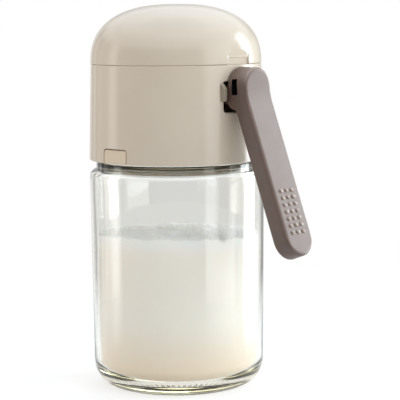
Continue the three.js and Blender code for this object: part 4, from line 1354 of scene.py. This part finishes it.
def nub(row, column):
    across = (column - (NUB_COLUMNS - 1) / 2) * NUB_COLUMN_PITCH
    crown = arc((0, 0), NUB_RADIUS, NUB_HEIGHT, 0, 1, NUB_CROWN_STEPS)
    made = turned("nub", [(0, -SINK), (NUB_RADIUS, -SINK), *crown], NUB_STEPS)
    place = PAD + BLADE_DOWN * row * NUB_ROW_PITCH
    basis = Matrix(((0, BLADE_DOWN.x, BLADE_OUT.x), (1, 0, 0), (0, BLADE_DOWN.y, BLADE_OUT.y))).to_4x4()
    made.data.transform(Matrix.Translation(Vector((place.x, across, place.y)) * MM) @ basis)
    # The nubs' lighter colour is a painted highlight.
    made.data.materials.append(NUB_PAINTED_HIGHLIGHT)
    return made


def hub_pocket():
    """What cuts the pocket for the arm out of the hub."""
    back = PIVOT_X - CHEEK_RADIUS - FAR_OVERCUT
    low_z = PIVOT_Z - POCKET_HALF_HEIGHT
    high_z = PIVOT_Z + POCKET_HALF_HEIGHT
    corners = [
        (back, low_z - FAR_OVERCUT),
        (LEVER_HEEL_X, low_z - FAR_OVERCUT),
        (POCKET_FRONT_X, low_z),
        (POCKET_FRONT_X, high_z),
        (back, high_z),
    ]
    return plate_along_y("pocket", corners, -POCKET_HALF_WIDTH, POCKET_HALF_WIDTH)


def press_lever():
    lever = lever_body()
    lever.data.materials.append(TAUPE)
    wall = housing_radius(SLOT_TOP) + RUNNING_GAP
    wall_bottom = SLOT_TOP - RUNNING_GAP * 2
    cut(lever, plain_disc("wall_space", wall, wall_bottom, LEVER_TOP + OVERCUT, LARGE_STEPS))
    join(lever, lever_cheek())
    cut(lever, hub_pocket())
    drill_along_y(lever, PIVOT, PIVOT_BORE, PIVOT_BORE_REACH)
    cut(lever, hub_window(1), hub_window(-1))
    for row in range(NUB_ROWS):
        for column in range(NUB_COLUMNS):
            join(lever, nub(row, column))
    dress(lever, "lever", "taupe_plastic", TAUPE, "press_lever")


# Pieces that keep their solid

def softened(node, finish, edge=BEVEL_EDGE):
    """Gives a solid that stays its finish and fine round edges."""
    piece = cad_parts[node]
    piece.data.materials.clear()
    piece.data.materials.append(finish)
    bevel = piece.modifiers.new("edges", "BEVEL")
    bevel.width = edge * MM
    bevel.segments = 2
    bevel.limit_method = "ANGLE"
    bevel.angle_limit = SMOOTH_ANGLE


def return_spring():
    section = circle((SPRING_RADIUS, 0), SPRING_WIRE, SPRING_SIDES)
    pitch = (SPRING_TOP - SPRING_BOTTOM - SPRING_WIRE * 2) / SPRING_COILS
    rise = SPRING_BOTTOM + SPRING_WIRE
    spring = swept("spring_wire", section, SPRING_COILS, SPRING_STEPS, pitch, rise)
    dress(spring, "head", "steel", STEEL, "return_spring")
    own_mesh(spring)


# Stage, light and camera

FLOOR_REACH = 280
FLOOR_SOLID = 90
FLOOR_GLOW = 0.6
FLOOR_LOOK = {
    "Base Color": grey(0.5),
    "Roughness": 0.9,
    "Specular IOR Level": 0,
    "Emission Color": grey(1),
}
SIDE_LIGHT = (0.97, 0.935, 0.875, 1)
OVERHEAD_LIGHT = (0.5, 0.56, 0.62, 1)
OVERHEAD_SHARES = (0.1, 0.7)  # where the overhead light starts and is whole, of straight up
COOL_LIGHT = (0.84, 0.95, 1)
WARM_LIGHT = (1, 0.93, 0.83)
LAMP_AIM = Vector((0, 0, 0.08))
# Lamps: degrees to the right of the camera; distance, height, width and length in metres; watts;
# colour; and whether gloss shows them
LAMPS = {
    "key": (60, 1.3, 0.6, 0.9, 1.5, 8, COOL_LIGHT, False),
    "fill": (-100, 1.3, 0.4, 0.9, 1.5, 4.5, WARM_LIGHT, False),
    "rim": (112, 1.4, 0.22, 0.5, 1.5, 14, COOL_LIGHT, True),
    "back": (168, 1.5, 0.75, 0.9, 0.6, 6, COOL_LIGHT, False),
}
# What gloss and glass see round the object: degrees to the right of the camera, and how bright
STUDIO_RING = [
    (-180, 0.74), (-166, 0.74), (-163, 0.9), (-154, 0.9), (-151, 0.3), (-146, 0.3), (-143, 1), (-138, 1),
    (-135, 0.3), (-130, 0.3), (-126, 0.7), (-121, 0.7), (-117, 0.45), (-104, 0.45), (-99, 1.6),
    (-96, 2.2), (-88, 2.2), (-83, 0.35), (36, 0.35), (40, 2.1), (80, 2.1), (84, 0.5), (99, 0.5),
    (103, 4), (121, 4), (126, 1.5), (142, 0.8), (148, 0.65), (152, 0.35), (162, 0.35), (166, 0.74),
    (180, 0.74),
]
# And above it: how bright, and where that starts and is whole, as a share of straight up
STUDIO_TOP = [(2, 0.3, 0.5), (3.6, 0.6, 0.85)]


def around(degrees, distance=1, height=0):
    """A direction or a place so many degrees to the right of the camera, seen from the object."""
    return polar(distance, CAMERA_AZIMUTH - math.pi / 2 + math.radians(degrees), height)


def softbox(name, degrees, distance, height, width, length, power, colour, in_gloss):
    lamp = bpy.data.lights.new(name, "AREA")
    lamp.color = colour
    lamp.shape = "RECTANGLE"
    lamp.size = width
    lamp.size_y = length
    lamp.energy = power
    holder = bpy.data.objects.new(name, lamp)
    holder.location = around(degrees, distance, height)
    holder.rotation_euler = (LAMP_AIM - holder.location).to_track_quat("-Z", "Y").to_euler()
    holder.visible_glossy = in_gloss
    bpy.context.scene.collection.objects.link(holder)


def shown_rays(tree, path):
    """One for rays from the camera and for those that gloss and glass send on, else nought."""
    total = path.outputs["Is Camera Ray"]
    for kind in ("Is Glossy Ray", "Is Transmission Ray"):
        either = add_node(tree, "Math", {0: total, 1: path.outputs[kind]}, operation="MAXIMUM")
        total = either.outputs["Value"]
    return total


def floor():
    """A pale disc that keeps the object's shadow and fades into the white round it."""
    rim = circle((0, 0), FLOOR_REACH)
    disc = new_piece("floor", [(x, y, 0) for x, y in rim], [range(len(rim))])
    made, tree, shader = new_material("pale_floor", FLOOR_LOOK)
    shown = shown_rays(tree, add_node(tree, "LightPath"))
    glow = add_node(tree, "Math", {0: shown, 1: FLOOR_GLOW}, operation="MULTIPLY")
    fill(tree, shader.inputs["Emission Strength"], glow.outputs["Value"])
    place = add_node(tree, "TexCoord").outputs["Object"]
    reach = add_node(tree, "VectorMath", {0: place}, operation="LENGTH").outputs["Value"]
    fade = ranged(tree, reach, FLOOR_SOLID * MM, FLOOR_REACH * MM)
    clear = add_node(tree, "BsdfTransparent").outputs["BSDF"]
    mix = add_node(tree, "MixShader", {"Fac": fade, 1: shader.outputs["BSDF"], 2: clear})
    fill(tree, tree.nodes["Material Output"].inputs["Surface"], mix.outputs["Shader"])
    disc.data.materials.append(made)


def studio_ring(tree, place, height):
    """How bright the studio is in each direction: a ramp over the turn round Z, brighter above."""
    sides = []
    for axis in (around(90), around(0)):
        share = add_node(tree, "VectorMath", {0: place, 1: axis}, operation="DOT_PRODUCT")
        sides.append(share.outputs["Value"])
    turn = add_node(tree, "Math", dict(enumerate(sides)), operation="ARCTAN2").outputs["Value"]
    stops = [(degrees / 360 + 0.5, grey(level)) for degrees, level in STUDIO_RING]
    shown = ramped(tree, ranged(tree, turn, -math.pi, math.pi), stops)
    for level, start, end in STUDIO_TOP:
        shown = mixed(tree, ranged(tree, height, start, end), shown, grey(level))
    return shown


def studio_world():
    """White to the camera, a studio with a bright back to gloss and glass, and even light to the rest."""
    world = bpy.data.worlds.new("studio")
    world.use_nodes = True
    bpy.context.scene.world = world
    tree = world.node_tree
    path = add_node(tree, "LightPath")
    place = add_node(tree, "TexCoord").outputs["Generated"]
    height = add_node(tree, "SeparateXYZ", {"Vector": place}).outputs["Z"]
    ambient = mixed(tree, ranged(tree, height, *OVERHEAD_SHARES), SIDE_LIGHT, OVERHEAD_LIGHT)
    shown = mixed(tree, shown_rays(tree, path), ambient, studio_ring(tree, place, height))
    seen = mixed(tree, path.outputs["Is Camera Ray"], shown, grey(1))
    fill(tree, tree.nodes["Background"].inputs["Color"], seen)


def add_camera():
    """Stands the camera where the photograph was taken from."""
    heading = around(180)
    heading.rotate(Matrix.Rotation(-CAMERA_TURN, 3, "Z"))
    ahead = heading * math.cos(CAMERA_TILT) - UP * math.sin(CAMERA_TILT)
    level = ahead.cross(UP).normalized()
    upward = level.cross(ahead)
    right = level * math.cos(CAMERA_ROLL) + upward * math.sin(CAMERA_ROLL)
    upward = right.cross(ahead)
    data = bpy.data.cameras.new("camera")
    data.lens = CAMERA_LENS
    data.sensor_width = SENSOR_WIDTH
    data.sensor_fit = "HORIZONTAL"
    holder = bpy.data.objects.new("camera", data)
    axes = Matrix((right, upward, -ahead)).transposed().to_4x4()
    place = around(0, CAMERA_DISTANCE * MM, CAMERA_HEIGHT * MM)
    holder.matrix_world = Matrix.Translation(place) @ axes
    bpy.context.scene.collection.objects.link(holder)
    bpy.context.scene.camera = holder


add_camera()
floor()
studio_world()
for lamp_name, lamp_values in LAMPS.items():
    softbox(lamp_name, *lamp_values)
bpy.context.scene.view_settings.view_transform = "Standard"

for build in (glass_jar, salt_fill, neck_gasket, outer_housing, screw_collar, top_deck):
    build()
for screw_number in range(SCREW_COUNT):
    deck_screw(screw_number)
outlet_spout()
steel_pin("pivot_pin", "lever_pivot_pin", PIVOT, PIVOT_PIN_RADIUS, FINE_EDGE)
steel_pin("hinge_pin", "lid_hinge_pin", HINGE, HINGE_PIN_RADIUS, THIN_EDGE)
for build in (press_lever, return_spring, dome_lid, lid_liner, spout_seal):
    build()
for rubber_node in ("chamber_seal", "outlet_plug", "inlet_plug"):
    softened(rubber_node, SILICONE)
for white_node in ("metering_chamber", "lift_carrier"):
    softened(white_node, WHITE)
softened("lever_arm", TAUPE)
softened("valve_rod", STEEL)
softened("rod_clip", STEEL, BEVEL_FINE_EDGE)
